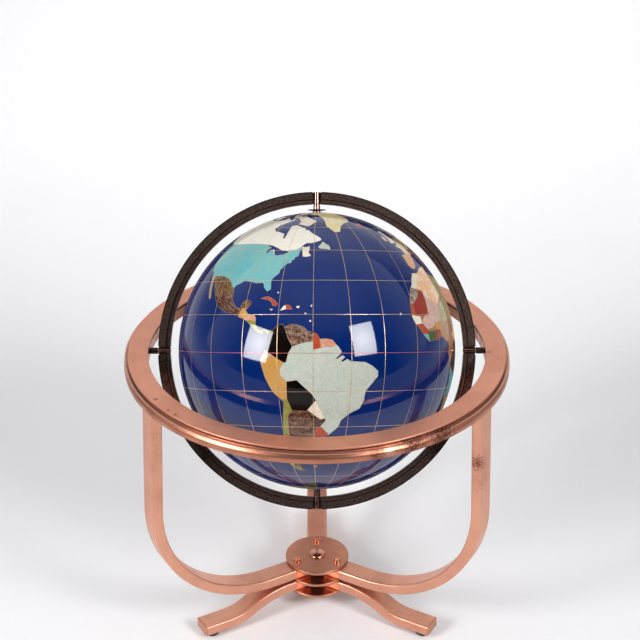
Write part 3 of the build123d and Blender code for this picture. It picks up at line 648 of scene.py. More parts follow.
# each land or island: its name, its own stone, and its coast as longitudes and latitudes in turn
coasts = [
    ("northAmerica", "ivory", -168, 65.5, -164, 66.5, -162, 66, -166, 68.3, -163, 69.8, -156.5, 71.3,
     -150, 70.5, -141, 69.6, -133, 69.6, -128, 70.3, -121, 69.8, -115, 68.2, -108, 68, -101, 67.8, -97, 68.5,
     -94.5, 71.5, -91.5, 69.5, -86, 67.2, -85, 69.5, -81.5, 68.5, -88, 64.5, -91.5, 62.5, -93, 59, -90, 57,
     -86.5, 56.5, -81.5, 55, -80.8, 52, -79.5, 51.5, -79.5, 57.5, -79.5, 61.5, -75, 62, -70, 60, -67, 59,
     -66.5, 57.5, -65, 58, -62.5, 56, -60.5, 54.5, -58.5, 53.5, -56.5, 52, -55.5, 51, -56.5, 50, -60, 49,
     -61.5, 48.5, -64.5, 48.5, -66, 47.5, -67, 46.5, -65, 46, -62.5, 46.5, -62.5, 44.5, -63, 43.2,
     -61.5, 41.2, -63.4, 40.7, -65.7, 40.7, -66.2, 42.9, -66.8, 45, -67.8, 43, -68.1, 41, -69.6, 40.4,
     -69.9, 39.3, -71, 38.9, -71.2, 37.5, -73.3, 37.2, -73.7, 36.4, -74.6, 36.2, -75, 34.9, -76, 34.2,
     -76, 32.5, -78.6, 30.4, -79.1, 28.8, -78.6, 25.3, -80.1, 24.5, -81.9, 26.1, -82.7, 28.3, -86.5, 28.2,
     -89, 28.8, -93, 29.2, -95, 28, -97, 27.2, -97.5, 26, -97, 24, -96.6, 21.5, -95.4, 19.5, -93.6, 18,
     -92.2, 17.4, -91.2, 18.6, -90.4, 20.6, -87.2, 20.8, -86.6, 19.6, -87.8, 17.6, -89, 17, -88, 16,
     -87, 14.8, -84.5, 15, -83.5, 13.5, -83.5, 11.5, -82.5, 9.5, -80.8, 8.6, -79.6, 9.4, -77.2, 8.4, -77.9, 7,
     -79.6, 8.6, -80.6, 7.4, -82.5, 8, -85.5, 10.5, -87, 12, -89, 13.2, -91.5, 14, -95.5, 15.5, -99, 16,
     -102.5, 17.5, -105, 19, -107, 21.5, -109.5, 25, -111.5, 27.5, -113.5, 30.5, -114.8, 31.6, -114.2, 29.5,
     -112.2, 25, -110.8, 22, -112, 21.5, -114, 25, -116, 29.5, -117.3, 32, -118.4, 33.8, -120.6, 34.5,
     -122, 36.8, -123.8, 39, -124.3, 43, -124.3, 47.5, -123, 48.8, -127.5, 51, -130.5, 54.8, -133, 57,
     -137.8, 58.7, -141, 60, -148.2, 60, -151.8, 59.2, -154, 58.5, -158, 56, -163.5, 55, -158.5, 57.6,
     -162, 58.7, -165.5, 61.3, -164.7, 63.2, -161, 64, -166.2, 64.5),
    ("southAmerica", "mint", -77.4, 8.8, -76, 8.8, -74, 10.8, -72, 11.2, -71, 10, -69, 11.2, -66.5, 11,
     -63.5, 10, -62, 8.5, -60, 8, -58.5, 7.4, -57.3, 5.4, -55, 5.6, -52.5, 5.1, -51.2, 3.4, -50, 2.2,
     -49, 0.6, -49.4, -0.3, -51.2, -1.9, -50.8, -2.3, -48.7, -0.8, -47.7, -1.5, -49.1, -3, -48.7, -3.4,
     -46.8, -2.2, -45.5, -3.1, -39.5, -3.5, -36.5, -5, -34, -7, -34, -9, -36.5, -12, -38.5, -14.5, -39, -16.5,
     -39, -18.5, -40.5, -22, -44.5, -24, -48, -27, -49, -30, -53, -33.7, -56, -34.8, -58.2, -34, -58.4, -35,
     -56.8, -36.8, -57.8, -38.2, -61.8, -38.9, -62.3, -40.6, -65, -41.1, -63.7, -42.6, -65.3, -44.5,
     -67.4, -46, -65.8, -47.6, -67.8, -49.9, -69, -51.5, -68.5, -53.2, -65.2, -54.7, -68, -55.4, -71.5, -54.2,
     -73.5, -52.7, -75.3, -51, -75.6, -48, -75.4, -45.5, -74.6, -42, -74.6, -38, -74.4, -34, -73.6, -30,
     -73, -24.5, -72.2, -19.2, -76.5, -15, -79, -10, -80.5, -4.8, -81, -3, -80.5, -1.5, -79, 1.2, -77.6, 4.8,
     -77.8, 7),
    ("greenland", "citrine", -54, 72, -51, 69, -50.5, 66.5, -50.5, 61, -47.5, 58, -45.5, 56, -41.5, 56.5,
     -38.5, 61, -32, 64.5, -24.5, 66, -21, 70, -19.5, 77, -12, 81.5, -31, 83.4, -54, 82.2, -63, 81.2,
     -72.8, 78.3, -66.5, 75.9, -57, 74.8),
    ("baffin", "cream", -77.5, 72.5, -71.5, 72.5, -64.5, 69, -58, 66, -61, 64, -63.5, 62, -66, 61, -70.5, 62,
     -74.5, 63, -74, 66, -79, 69.8, -88, 70.5, -89, 73.5, -82, 73.6),
    ("victoria", "ivory", -117, 69, -105, 69, -104, 72.8, -110, 73, -119, 72),
    ("banks", "rose", -125, 72, -122.5, 71, -120, 72, -120.5, 74.4, -124.5, 74.2),
    ("ellesmere", "cream", -78, 76.3, -89, 76.4, -95, 80, -91, 81.5, -80, 83, -68, 83, -63, 82.4, -70, 80),
    ("devon", "ivory", -80, 75.6, -95, 76.3, -92, 74.7, -80, 74.6),
    ("newfoundland", "mint", -57.8, 46.2, -56.3, 47.6, -55, 49.4, -54, 48.8, -53.2, 48, -51.6, 47.2,
     -51, 45.6, -51.3, 44.5, -53, 44.9, -57, 45.3),
    ("cuba", "coral", -82.5, 21.4, -80, 22.4, -77.5, 21.6, -76, 20.6, -74.7, 19.2, -75.2, 18.4, -76.8, 18.5,
     -77.4, 20, -79, 21),
    ("hispaniola", "ivory", -73.5, 16.5, -72, 18.5, -70.5, 19, -69.5, 18.5, -68.3, 17, -71, 17.1),
    ("jamaica", "honey", -78, 17.3, -76.3, 17.1, -77.2, 16.6),
    ("puertoRico", "ivory", -66.8, 18.3, -65.5, 18.4, -65.7, 17.6, -66.7, 17.6),
    ("bahamas", "ivory", -75.4, 24.3, -74.7, 24.3, -74.7, 23.7, -75.4, 23.7),
    ("leeward", "ivory", -61, 18.8, -60.4, 18.8, -60.5, 18.1, -61, 18.1),
    ("windward", "cream", -63.5, 15.6, -62.6, 15.6, -62.8, 15, -63.4, 15),
    ("trinidad", "ivory", -61.5, 12.8, -60.7, 12.7, -60.8, 12, -61.4, 12.1),
    ("verde", "cream", -22.8, 15.4, -22.3, 15.7, -21.8, 15.4, -21.9, 14.7, -22.7, 14.7),
    ("falklands", "sand", -61, -51.3, -58, -51.3, -58.5, -52.3, -61, -52.2),
    ("iceland", "coral", -22.5, 62.6, -20, 64, -16, 63.8, -14.5, 62, -17, 60.7, -21, 61),
    ("ireland", "rose", -9.5, 50.6, -6.3, 50.8, -5.6, 53, -7.6, 54.4, -9.6, 53),
    ("britain", "ivory", -5, 49.4, -1.5, 49.6, 2.4, 50.4, 2, 52.4, 0, 54, -1.6, 57, -3, 58.4, -5.5, 57.4,
     -4, 54.8, -3.4, 52.4, -4.6, 51.2),
    ("africa", "russet", -6.5, 33, -2, 33.2, 3, 35.6, 10.2, 37.2, 10, 34.2, 11.2, 33.1, 15.2, 32.3, 20.1, 31,
     20.1, 32.4, 23, 32.5, 29, 30.9, 32.3, 31.2, 34.2, 31.3, 34.9, 29.5, 34.2, 27.8, 32.6, 29.9, 33.8, 27,
     35.5, 24, 37.2, 21, 38.5, 18, 40.8, 14.8, 43.2, 12, 44.5, 10.4, 51.2, 11.9, 48, 4.5, 45.5, 2, 42, -1,
     40.1, -2.8, 39.2, -5, 39.5, -7, 40.6, -10.8, 40.6, -14.5, 37, -17.7, 34.8, -19.8, 35.5, -22.2, 35.4, -24,
     32.8, -25.8, 32.8, -28, 31, -29.9, 28.5, -32.7, 25.7, -34, 22, -34.2, 20, -34.8, 18.4, -34.1, 18.2, -32,
     16.4, -28.6, 14.9, -25.5, 14.5, -22.5, 11.8, -18, 13.5, -13, 13.2, -9, 12.3, -6, 11.1, -3.9, 8.9, -0.7,
     9.7, 2.5, 9, 4.2, 6, 4.4, 4, 6, 2.5, 6, -2.5, 4.7, -6.5, 4.5, -7.5, 4.1, -11, 7, -13.5, 10, -15, 11,
     -16.5, 14.5, -16, 19, -15, 22.5, -13, 26, -11, 27.5, -9.5, 30),
    ("madagascar", "coral", 49.3, -12, 50.5, -15.5, 49.5, -18, 47.2, -25, 45, -25.5, 43.5, -23, 44.3, -16.3,
     47, -15),
    ("eurasia", "rose", -5.6, 37.5, -5, 40.6, -5.4, 42.3, -2.6, 42.8, 0, 43, 0, 46, -3.5, 47.6, -1, 48.4,
     1.8, 50.2, 4.2, 52, 6, 53.4, 8.6, 53.8, 8.2, 55.6, 8.3, 57, 10.6, 57.6, 10.3, 56.3, 9.8, 54.9,
     11.2, 54.2, 14.2, 54, 18.5, 54.8, 21, 55.2, 21.2, 57, 22.6, 57.7, 24.2, 57.1, 23.5, 59.2, 28, 59.5,
     30.2, 60, 25, 60.3, 21.4, 61.5, 24.8, 65, 22.2, 65.8, 17.3, 62.3, 18.8, 60, 16.7, 57.8, 15.8, 56.2,
     12.9, 55.5, 11.2, 58.9, 8.2, 58.2, 5.4, 59, 5.1, 61.5, 9.5, 63.7, 13, 66, 16, 68.8, 21, 70, 26, 71,
     31, 70.3, 41, 67.3, 34.8, 64.5, 38.5, 64.2, 40, 65, 44, 66.3, 44, 68.3, 48, 67.7, 54, 68.5, 60, 69,
     68, 68.4, 69.5, 72.8, 73, 71.5, 73.5, 68.5, 81, 72, 80.5, 73.6, 87, 75, 98, 76.2, 104.3, 77.7, 113, 75.8,
     109, 73.6, 114, 73.5, 123, 73, 130, 71, 139.5, 72.3, 150, 71.4, 160, 69.8, 178, 69.2, 180, 68.9,
     180, 62.9, 179, 62.6, 164.5, 59.9, 162, 56.2, 157, 51, 155.8, 56, 164, 62.4, 156.5, 61.5, 150, 59.5,
     142, 59, 135.5, 54.7, 140.8, 52, 140.3, 48, 135.5, 44, 131, 42.6, 127.6, 39.8, 129.4, 37, 129, 35.2,
     126.4, 34.5, 126.7, 37.5, 124.8, 39.7, 121.5, 39, 121.7, 40.8, 118, 39, 119, 37.3, 122.4, 37.2,
     119.3, 35, 121.8, 32, 121.8, 29.5, 119.5, 25.8, 116.7, 23.2, 113.5, 22.2, 110, 21.3, 108.2, 21.6,
     105.9, 19.2, 108.8, 15.5, 109.2, 12, 106.8, 10.3, 104.8, 8.7, 104.5, 10.5, 102.5, 12, 100.8, 13.5,
     99.3, 9.5, 103.4, 4.5, 104.2, 1.4, 100.3, 5.5, 98.3, 8, 98.6, 12, 97.5, 16.5, 94.4, 16, 94.2, 18.9,
     92, 21.5, 90.5, 22.2, 87, 21.3, 85, 19.5, 82.2, 16.6, 80.2, 15, 80.2, 12, 79.8, 10.3, 77.6, 8.1,
     76.2, 10, 74.5, 14, 72.9, 18.5, 72.7, 21, 70, 21, 69, 22.4, 68, 23.7, 66.5, 25.3, 61.6, 25.2, 57.2, 26.8,
     51, 29, 48.8, 30.3, 48, 29.5, 50.1, 26.6, 51.8, 24.2, 54.2, 24.1, 56.3, 26, 56.8, 24.3, 59.8, 22.4,
     57.8, 19, 55.2, 17.5, 52, 15.6, 47, 13.5, 43.6, 12.7, 42.7, 15.7, 39.1, 21.5, 35.1, 28, 34.9, 29.5,
     34.2, 31.3, 35.9, 36.6, 32.6, 36.1, 30.6, 36.8, 27.4, 37, 26.3, 39.3, 29, 41.1, 31.5, 41.2, 35.1, 42,
     38.4, 40.9, 41.6, 41.6, 37, 45.2, 39.2, 47.2, 35, 46.2, 36.5, 45.3, 33.6, 44.5, 31, 46.6, 29.6, 45.2,
     28.6, 43.7, 27.6, 42.5, 28.9, 41.3, 26.3, 40.7, 22.8, 40.3, 24, 38, 22.8, 36.5, 21.3, 37.5, 19.5, 41,
     19, 42, 15.3, 44.3, 13.6, 45.6, 12.4, 45.2, 12.6, 44, 14.2, 42.4, 18.4, 40.1, 16.6, 39, 15.8, 38,
     15.6, 40, 12.3, 41.7, 10.4, 43.2, 8.8, 44.2, 6.5, 43, 5.2, 42.4, 4.6, 41, 2.6, 39, 1.4, 37.2, 0, 36,
     -3, 35, -4.8, 36.2),
    ("chukotka", "rose", -180, 68.9, -170, 66.1, -173, 64.4, -180, 62.9),
    ("japan", "coral", 130, 31.3, 131.5, 33.6, 135.5, 33.6, 140, 35, 141.8, 39.5, 145, 43.3, 141.8, 45.3,
     140, 42, 139.8, 38.5, 136.5, 36.8, 132.5, 35.5, 129.8, 33),
    ("sakhalin", "rose", 142, 46, 143.5, 47, 143.2, 53, 142.5, 54, 141.8, 50),
    ("taiwan", "turquoise", 120.2, 23, 121, 22, 121.9, 25, 121, 25),
    ("hainan", "golden", 108.7, 19.2, 110, 18.3, 111, 19.8, 109.5, 20.1),
    ("luzon", "turquoise", 120, 14, 121.5, 12.6, 124, 13, 122, 16, 122, 18.5, 120.6, 18.5),
    ("mindanao", "turquoise", 122, 7, 125.5, 5.8, 126.5, 8, 125, 12, 123, 11),
    ("borneo", "olive", 109, 1.5, 110, -2, 114, -4, 116.5, -3, 118.8, 1, 119, 5, 116.8, 7, 113, 3),
    ("sumatra", "honey", 95.3, 5.6, 98, 4.3, 103.5, -0.5, 106, -3.5, 105.7, -5.8, 101.5, -3, 98.5, 1),
    ("java", "honey", 105.2, -6.2, 110.8, -6.4, 114.5, -7.8, 114.3, -8.7, 108, -7.8, 105.3, -6.9),
    ("sulawesi", "red", 119, -3, 120.5, -5.5, 121.5, -2, 124.8, 1.4, 120.2, 1, 119.6, -1),
    ("newGuinea", "moss", 131, -0.8, 134.5, -1.2, 141, -2.6, 147.5, -6, 150.8, -10.5, 147, -9.6, 143, -9,
     138, -8.2, 137.5, -5.2, 133, -4),
    ("sriLanka", "jasper", 79.8, 8.5, 80.2, 6, 81.6, 6.6, 81.2, 8.8, 80.2, 9.8),
    ("novayaZemlya", "ash", 52, 71, 57, 70.7, 58, 73.5, 68.5, 76.5, 66, 77, 56, 75),
    ("svalbard", "ivory", 12, 79.5, 16, 76.8, 24, 78, 27, 80, 18, 80.4),
    ("australia", "jasper", 113.7, -22.5, 117, -20.7, 122, -18.2, 125.5, -14.5, 129.5, -15, 131, -12,
     136.8, -12.2, 135.8, -15, 140.5, -17.6, 142, -11, 145.3, -15, 146.5, -19, 150.5, -23, 153.3, -26,
     153, -31, 150.2, -37.2, 146.5, -39, 143.5, -38.6, 139.8, -37, 138, -33.2, 135.5, -34.8, 131.5, -31.5,
     126, -32.3, 121, -34, 118, -35, 115.2, -34.2, 115.6, -31.5, 113.8, -26.3),
    ("tasmania", "olive", 144.7, -40.8, 148.3, -40.9, 147.5, -43.4, 146, -43.4),
    ("newZealandNorth", "mint", 172.8, -34.6, 175.5, -36.6, 178.3, -37.8, 176.5, -41, 174.2, -39.3),
    ("newZealandSouth", "mint", 172.6, -40.7, 174.2, -41.8, 171, -44.8, 169, -46.6, 166.6, -45.8, 170.3, -43),
    ("antarctica", "moss", -180, -78, -165, -78.4, -155, -77, -140, -75, -125, -73.5, -103, -73, -90, -72.8,
     -75, -73, -68, -70, -66, -66.5, -58, -63.4, -61, -66, -62, -71, -62, -75, -50, -77.6, -35, -78, -26, -75,
     -12, -71.2, 5, -69.8, 20, -70, 38, -69.5, 50, -66.8, 60, -67.4, 70, -68.6, 80, -67.8, 95, -66.4,
     110, -66.2, 125, -66.6, 140, -66.8, 152, -68.6, 165, -70.8, 171, -72, 165, -77.8, 180, -78, 180, -90,
     -180, -90),
]

# countries and provinces of other stone, land by land; each covers what came before it
regions = {
    "northAmerica": [
        ("turquoise", -141, 72, -141, 60, -130, 54.8, -150, 52, -172, 52, -172, 72),
        ("turquoise", -130, 49, -97, 48.7, -89.5, 48, -84.5, 46.5, -82.5, 43, -78.5, 43.9, -75, 43.6,
         -73.5, 44, -70, 44.5, -67, 46.3, -66, 44.8, -64, 40, -60, 30, -78, 22, -90, 24, -97.5, 24.5,
         -97.6, 26, -99, 27, -101, 29, -103.5, 30.5, -107.5, 31.6, -114.6, 32, -117.5, 32, -130, 34),
        ("cream", -67.2, 46.6, -66.4, 44.6, -67, 42, -66, 39, -58, 39, -58, 46.5, -63, 47.6),
        ("fern", -97.6, 26, -99, 27, -101, 29, -103.5, 30.5, -107.5, 31.6, -114.6, 32, -113.4, 30.4,
         -109.8, 23, -104, 22.6, -100.5, 24, -97, 22.6, -94, 23),
        ("jasper", -109.8, 23, -104, 22.6, -100.5, 24, -97, 22.6, -94, 22, -94.2, 18.6, -92, 16.6,
         -91.5, 15.2, -92.2, 13, -107, 16),
        ("fern", -94.2, 18.6, -92, 16.6, -91.5, 15.2, -90.6, 17.6, -88.9, 17.4, -87, 17.6, -85, 19, -88, 22,
         -94, 22),
        ("sand", -117.6, 32, -114.6, 32, -113.4, 30.4, -111, 25, -109, 21, -113, 20, -119, 30),
        ("golden", -92.2, 13, -91.5, 15.2, -90.6, 17.6, -88.9, 17.4, -87, 17.6, -86.9, 14.6, -88.4, 13.9,
         -89, 12),
        ("blush", -86.9, 14.6, -87, 16, -84, 16, -82.6, 13.2, -83.2, 12.4, -87, 12.7, -89.4, 12.4,
         -88.4, 13.9),
        ("olive", -88, 12.8, -82.4, 12.4, -81, 9.8, -76.5, 9.4, -76.6, 6, -82, 6, -87, 9),
    ],
    "hispaniola": [
        ("coral", -71, 16, -71.3, 20, -67, 20, -67, 16),
    ],
    "southAmerica": [
        ("onyx", -79, 8, -77.3, 8.3, -77, 10, -74, 13, -71.5, 12, -71.2, 9.8, -69.5, 5.5, -68, 2.5, -69.5, 0,
         -70.5, -3.5, -71.5, -3.6, -75, -1.5, -79.2, 1.2, -81, 3),
        ("heath", -71.5, 12, -71.2, 9.8, -69.5, 5.5, -68, 2.5, -64.5, 3.8, -60, 4.6, -60, 9, -66, 13),
        ("coral", -60, 9, -60, 1.4, -57, 2, -57.4, 5.6, -56, 7),
        ("blush", -57.2, 7, -57, 2, -55, 2.5, -52.5, 2.3, -50.9, 3.4, -51, 7),
        ("rose", -82, 1.8, -79, 1.4, -76.5, -1, -79.5, -2.6, -80.6, -5, -83, -3),
        ("golden", -80.6, -5, -79.5, -2.6, -76.5, -1, -75, -1.5, -71.5, -3.6, -73, -6, -73, -8.5, -70.5, -11,
         -70.8, -18, -72.4, -19.4, -78, -18, -83, -8),
        ("onyx", -70.5, -11, -66.5, -10.4, -60.5, -16, -59, -18.5, -62.5, -22.6, -63, -23, -69, -22.6,
         -70.7, -18),
        ("olive", -70.8, -18, -69, -22.6, -71, -25, -71.5, -32, -71, -38, -72, -46, -72.5, -52, -68.6, -52.4,
         -68.6, -58, -80, -58, -80, -18),
        ("jasper", -69, -22.6, -63, -23, -62.5, -22.5, -60, -24.4, -57, -26.6, -55, -26, -54.8, -27.2,
         -57, -29.6, -59.2, -31, -59.6, -34, -52, -38, -60, -58, -68.6, -58, -68.6, -52.4, -72.5, -52,
         -72, -46, -71, -38, -71.5, -32, -71, -25),
        ("cream", -62.5, -22.5, -59, -18.5, -55, -26, -57, -26.6, -60, -24.4),
        ("coral", -59.2, -31, -57, -29.6, -53.6, -33, -53, -36, -59.6, -36),
    ],
    "africa": [
        ("cream", -13, 33, -9, 36, -3.6, 34.4, -4, 31, -7.5, 27, -9, 25.6, -12, 26.4),
        ("honey", -3.6, 34.4, 2, 38, 8.5, 38.5, 9.5, 30, 12, 23.5, 5, 19.5, 3, 19.5, -4, 22.5, -5.4, 25,
         -9, 25.6, -7.5, 27, -4, 31),
        ("ash", -18, 27, -12, 26.4, -8, 25.5, -9.8, 22.5, -14, 19.5, -18, 19.2),
        ("red", -8, 25.5, -5.5, 25, -5, 21.5, -5.5, 15.5, -8.5, 14.5, -14, 14.5, -14, 19.5, -9.8, 22.5),
        ("coral", -19, 19.4, -14, 19.5, -14, 14.5, -19, 14.6),
        ("rose", -5.4, 25, -4, 22.5, 3, 19.5, 5, 19.5, 3.5, 12.4, 0, 12, -4.5, 9.5, -9, 9, -11, 12,
         -8.5, 14.5, -5.5, 15.5, -5, 21.5),
        ("ivory", -19, 14.7, -11.5, 14.4, -11, 11.4, -17, 10.6),
        ("coral", -16, 10.8, -11, 11.3, -7.5, 8.7, -8, 7, -12, 6.6),
        ("turquoise", -13, 7.3, -8, 7, -6.8, 4.6, -7.5, 2),
        ("moss", -8, 8.4, -2, 8.6, -2.5, 3, -7, 3),
        ("red", -2, 9, 2.2, 9, 2.6, 4, -2.5, 3),
        ("golden", -2.4, 11.4, 3.5, 12.4, 3.4, 5, 2.2, 9, -2, 9),
        ("reed", 5, 19.5, 14, 22, 15, 14, 8, 12, 3.5, 12.4),
        ("reed", 9.5, 30, 9, 34, 11.5, 36, 25, 34, 25, 20, 16, 23, 14, 22, 12, 23.5),
        ("golden", 25, 34, 35.2, 31.5, 35, 28, 38, 22, 25, 22),
        ("jasper", 25, 22, 38, 22, 36.5, 15, 34, 9, 28, 9.5, 24, 12),
        ("sand", 15, 14, 14, 22, 16, 23, 24, 19.5, 24, 12, 19, 8.5),
        ("coral", 36.5, 15, 42.6, 12.6, 42.6, 9, 47, 8, 41, 4, 35.5, 5, 34, 9),
        ("sand", 42.6, 12.6, 53, 14, 52, 9, 42, -3, 41, 4, 47, 8, 42.6, 9),
        ("mint", 35.5, 5, 41, 4, 42, -3, 39, -5, 34, -1, 34, 4),
        ("honey", 24, 12, 28, 9.5, 34, 9, 35.5, 5, 30, 4, 19, 5, 15, 7, 19, 8.5),
        ("onyx", 12, -5, 17, 4, 30, 4, 29.5, -2, 30, -8, 24, -12, 17, -8),
        ("rose", 29.5, -2, 34, -1, 39, -5, 41, -10, 35, -12, 30, -8),
        ("turquoise", 10, -6, 17, -8, 24, -12, 22, -18, 10, -18),
        ("ivory", 22, -18, 24, -12, 30, -8, 33, -14, 28, -16, 25, -18),
        ("olive", 33, -14, 35, -12, 42, -10, 42, -18, 36, -27, 31, -22, 33, -17),
        ("sand", 10, -18, 20, -18, 20, -28, 14, -29),
        ("red", 20, -18, 25, -18, 29, -22, 25, -26, 20, -27),
        ("moss", 25, -18, 28, -16, 33, -17, 31, -22, 29, -22),
    ],
    "eurasia": [
        ("amber", -8, 34, -6, 44, 3.6, 43, 5.4, 41, 2, 35),
        ("straw", -6, 44.5, -6, 49.6, 1.8, 51, 8, 49, 6.5, 46, 7.6, 43, 3.6, 43),
        ("olive", 5.6, 51, 6, 55, 14.4, 55, 15, 51, 13.6, 48.6, 8, 47.6, 8, 49),
        ("coral", 6.5, 46, 13.6, 46.6, 16, 43.4, 20, 39, 15, 36, 7.6, 43),
        ("ivory", 14.4, 55, 23.6, 54.4, 24, 50.4, 22.6, 49, 15, 51),
        ("jasper", 13.6, 46.6, 13.6, 48.6, 22.6, 49, 29, 45.6, 28.6, 42, 19, 41, 16, 43.4),
        ("honey", 19, 41, 28.6, 42, 25, 34, 20, 36),
        ("golden", 23.6, 54.4, 31, 52.4, 40, 49.6, 38, 46.6, 33, 44, 29, 45.6, 24, 50.4),
        ("turquoise", 4, 57.6, 4, 62, 20, 71, 28.6, 71.6, 25.6, 69, 20, 69, 12.4, 63.4, 11.4, 58.6),
        ("sand", 11.4, 58.6, 12.4, 63.4, 20, 69, 24, 66, 20.5, 62, 20, 57, 14, 55),
        ("olive", 20, 69, 25.6, 69, 30, 70, 31, 62.6, 27.6, 60.2, 20.6, 60.6, 20.5, 62, 24, 66),
        ("red", 26, 36, 26, 42, 42.6, 41.6, 44.6, 37.2, 36.2, 36.8),
        ("sand", 36.2, 36.8, 44.6, 37.2, 48.4, 30, 56, 26, 61, 22, 52, 14, 42, 12, 34, 29),
        ("olive", 44.6, 37.2, 48.8, 38.4, 54, 37.2, 61, 36.4, 61.6, 25, 56, 26, 48.4, 30),
        ("jasper", 61, 36.4, 66.6, 37.4, 74.6, 37, 70, 34, 66, 29.6, 61, 29.6),
        ("turquoise", 61.6, 25, 61, 29.6, 66, 29.6, 70, 34, 74.6, 34.6, 71, 28, 71, 24, 66, 22),
        ("coral", 74.6, 37, 79, 32.6, 81, 30, 88, 27.6, 97, 28, 92.6, 22, 90, 25.6, 88.4, 22, 80, 4, 70, 18,
         71, 24, 71, 28, 74.6, 34.6),
        ("golden", 74.6, 37, 73.8, 39.6, 80, 42, 82.6, 45.2, 87.8, 49, 96.4, 42.8, 105, 41.6, 112, 44.6,
         119.8, 46.8, 116.8, 49.8, 123, 53.4, 135, 48.2, 131, 43, 124, 39.8, 123, 30, 112, 17, 105, 22.6,
         98, 24, 97, 28, 88, 27.6, 81, 30, 79, 32.6),
        ("jasper", 87.8, 49, 98, 52, 108, 49.6, 116.8, 49.8, 119.8, 46.8, 112, 44.6, 105, 41.6, 96.4, 42.8),
        ("turquoise", 48.6, 46, 47, 50, 60, 51.6, 70, 55, 78, 53, 87.8, 49, 82.6, 45.2, 80, 42, 68, 41.6,
         56, 41.4, 53, 42),
        ("moss", 53, 42, 56, 41.4, 68, 41.6, 73.8, 39.6, 74.6, 37, 66.6, 37.4, 61, 36.4, 54, 37.2),
        ("olive", 92.6, 22, 97, 28, 98, 24, 101, 21.6, 98.6, 16, 99, 9, 93, 14),
        ("mint", 98.6, 16, 101, 21.6, 105, 22.6, 108.4, 21.6, 110, 14, 103, 12, 100, 12),
        ("blush", 98, 12, 103, 12, 110, 12, 106, 0, 98, 4),
        ("ivory", 124, 39.8, 131, 43, 131, 34, 125, 33),
    ],
    "australia": [
        ("sand", 112, -10, 129, -10, 129, -36, 112, -36),
        ("golden", 129, -10, 138, -10, 138, -26, 129, -26),
        ("coral", 141, -29, 154, -28.4, 152, -38, 141, -35),
    ],
}
lakes = [
    (-88.7, 47.8, -84.8, 47.2, -81.2, 45.8, -77.8, 44.2, -74.6, 43.9, -73.7, 43.1, -77.1, 41.9, -80.8, 41.5,
     -82, 43.1, -82.8, 44.9, -84.8, 44.8, -86, 43.1, -87.1, 43.3, -86.5, 45.2, -84.9, 45.9, -87, 46.8),
    (47, 45, 53, 46.6, 53, 45, 51, 44.5, 52.8, 42, 53.8, 39, 53.9, 37, 50, 37.4, 49.5, 41, 47.5, 43),
    (32, 0.4, 34.2, 0.2, 33.4, -2.6, 31.8, -2),
]


# the ball: stone skin laid out on longitude and latitude, then wrapped round the pole
ball = {
    "turn": 58.5, "gridStep": 2.5, "outlineStep": 1.25, "cutMargin": 1e-5, "onePoint": 2e-6,
    "shortestEdge": 1e-6,
    "rows": [(60, 1), (76, 2), (91, 4)],  # below a latitude, how many grid steps apart points are
    "seamWidth": 0.3, "seamSunk": 0.2, "seamProud": 0.03,
}


def onBall(places):
    angles = np.radians(np.array(places, float).reshape(-1, 2))
    turn, rise = angles[:, 0] + math.radians(ball["turn"]), angles[:, 1]
    ways = np.outer(np.cos(rise) * np.sin(turn), across) + np.outer(np.cos(rise) * np.cos(turn), front)
    return np.array(centre) + ballRadius * (ways + np.outer(np.sin(rise), pole))


def sidesOf(outline):
    # the two ends of each side of a flat list of longitudes and latitudes
    spots = list(zip(outline[::2], outline[1::2]))
    return zip(spots, spots[1:] + spots[:1])


def stepped(outline, step):
    # points all round an outline, no further apart than a step in degrees
    result = []
    for (x, y), (u, v) in sidesOf(outline):
        count = max(1, math.ceil(max(abs(u - x), abs(v - y)) / step))
        result += [(x + (u - x) * part / count, y + (v - y) * part / count) for part in range(count)]
    return result


def within(outline, places):
    hit = np.zeros(len(places), bool)
    for (x, y), (u, v) in sidesOf(outline):
        if y != v:
            level = (y > places[:, 1]) != (v > places[:, 1])
            hit ^= level & (places[:, 0] < (u - x) * (places[:, 1] - y) / (v - y) + x)
    return hit


def mapGrid(step):
    # rows of points, with fewer of them near the poles
    spots = []
    for row in range(round(180 / step) + 1):
        latitude = -90 + row * step
        jump = step * next(apart for limit, apart in ball["rows"] if abs(latitude) < limit)
        spots += [(-180 + column * jump, latitude) for column in range(round(360 / jump) + 1)]
    return spots


def cutMap():
    outlines = [row[2:] for row in coasts] + lakes
    outlines += [row[1:] for group in regions.values() for row in group]
    spots, edges = mapGrid(ball["gridStep"]), []
    for outline in outlines:
        line = stepped(outline, ball["outlineStep"])
        edges += [(len(spots) + k, len(spots) + (k + 1) % len(line)) for k in range(len(line))]
        spots += line
    places, _, faces, *_ = delaunay_2d_cdt([Vector(spot) for spot in spots], edges, [], 0, ball["cutMargin"])
    return np.array([tuple(place) for place in places]), np.array([tuple(face) for face in faces])


def stonesOfFaces(places, faces):
    middles = places[faces].mean(axis=1)
    chosen = np.zeros(len(faces), int)
    for land, stone, *outline in coasts:
        ground = within(outline, middles)
        chosen[ground] = stoneNames.index(stone)
        for part, *border in regions.get(land, ()):
            chosen[ground & within(border, middles)] = stoneNames.index(part)
    for outline in lakes:
        chosen[within(outline, middles)] = stoneNames.index("ocean")
    return chosen


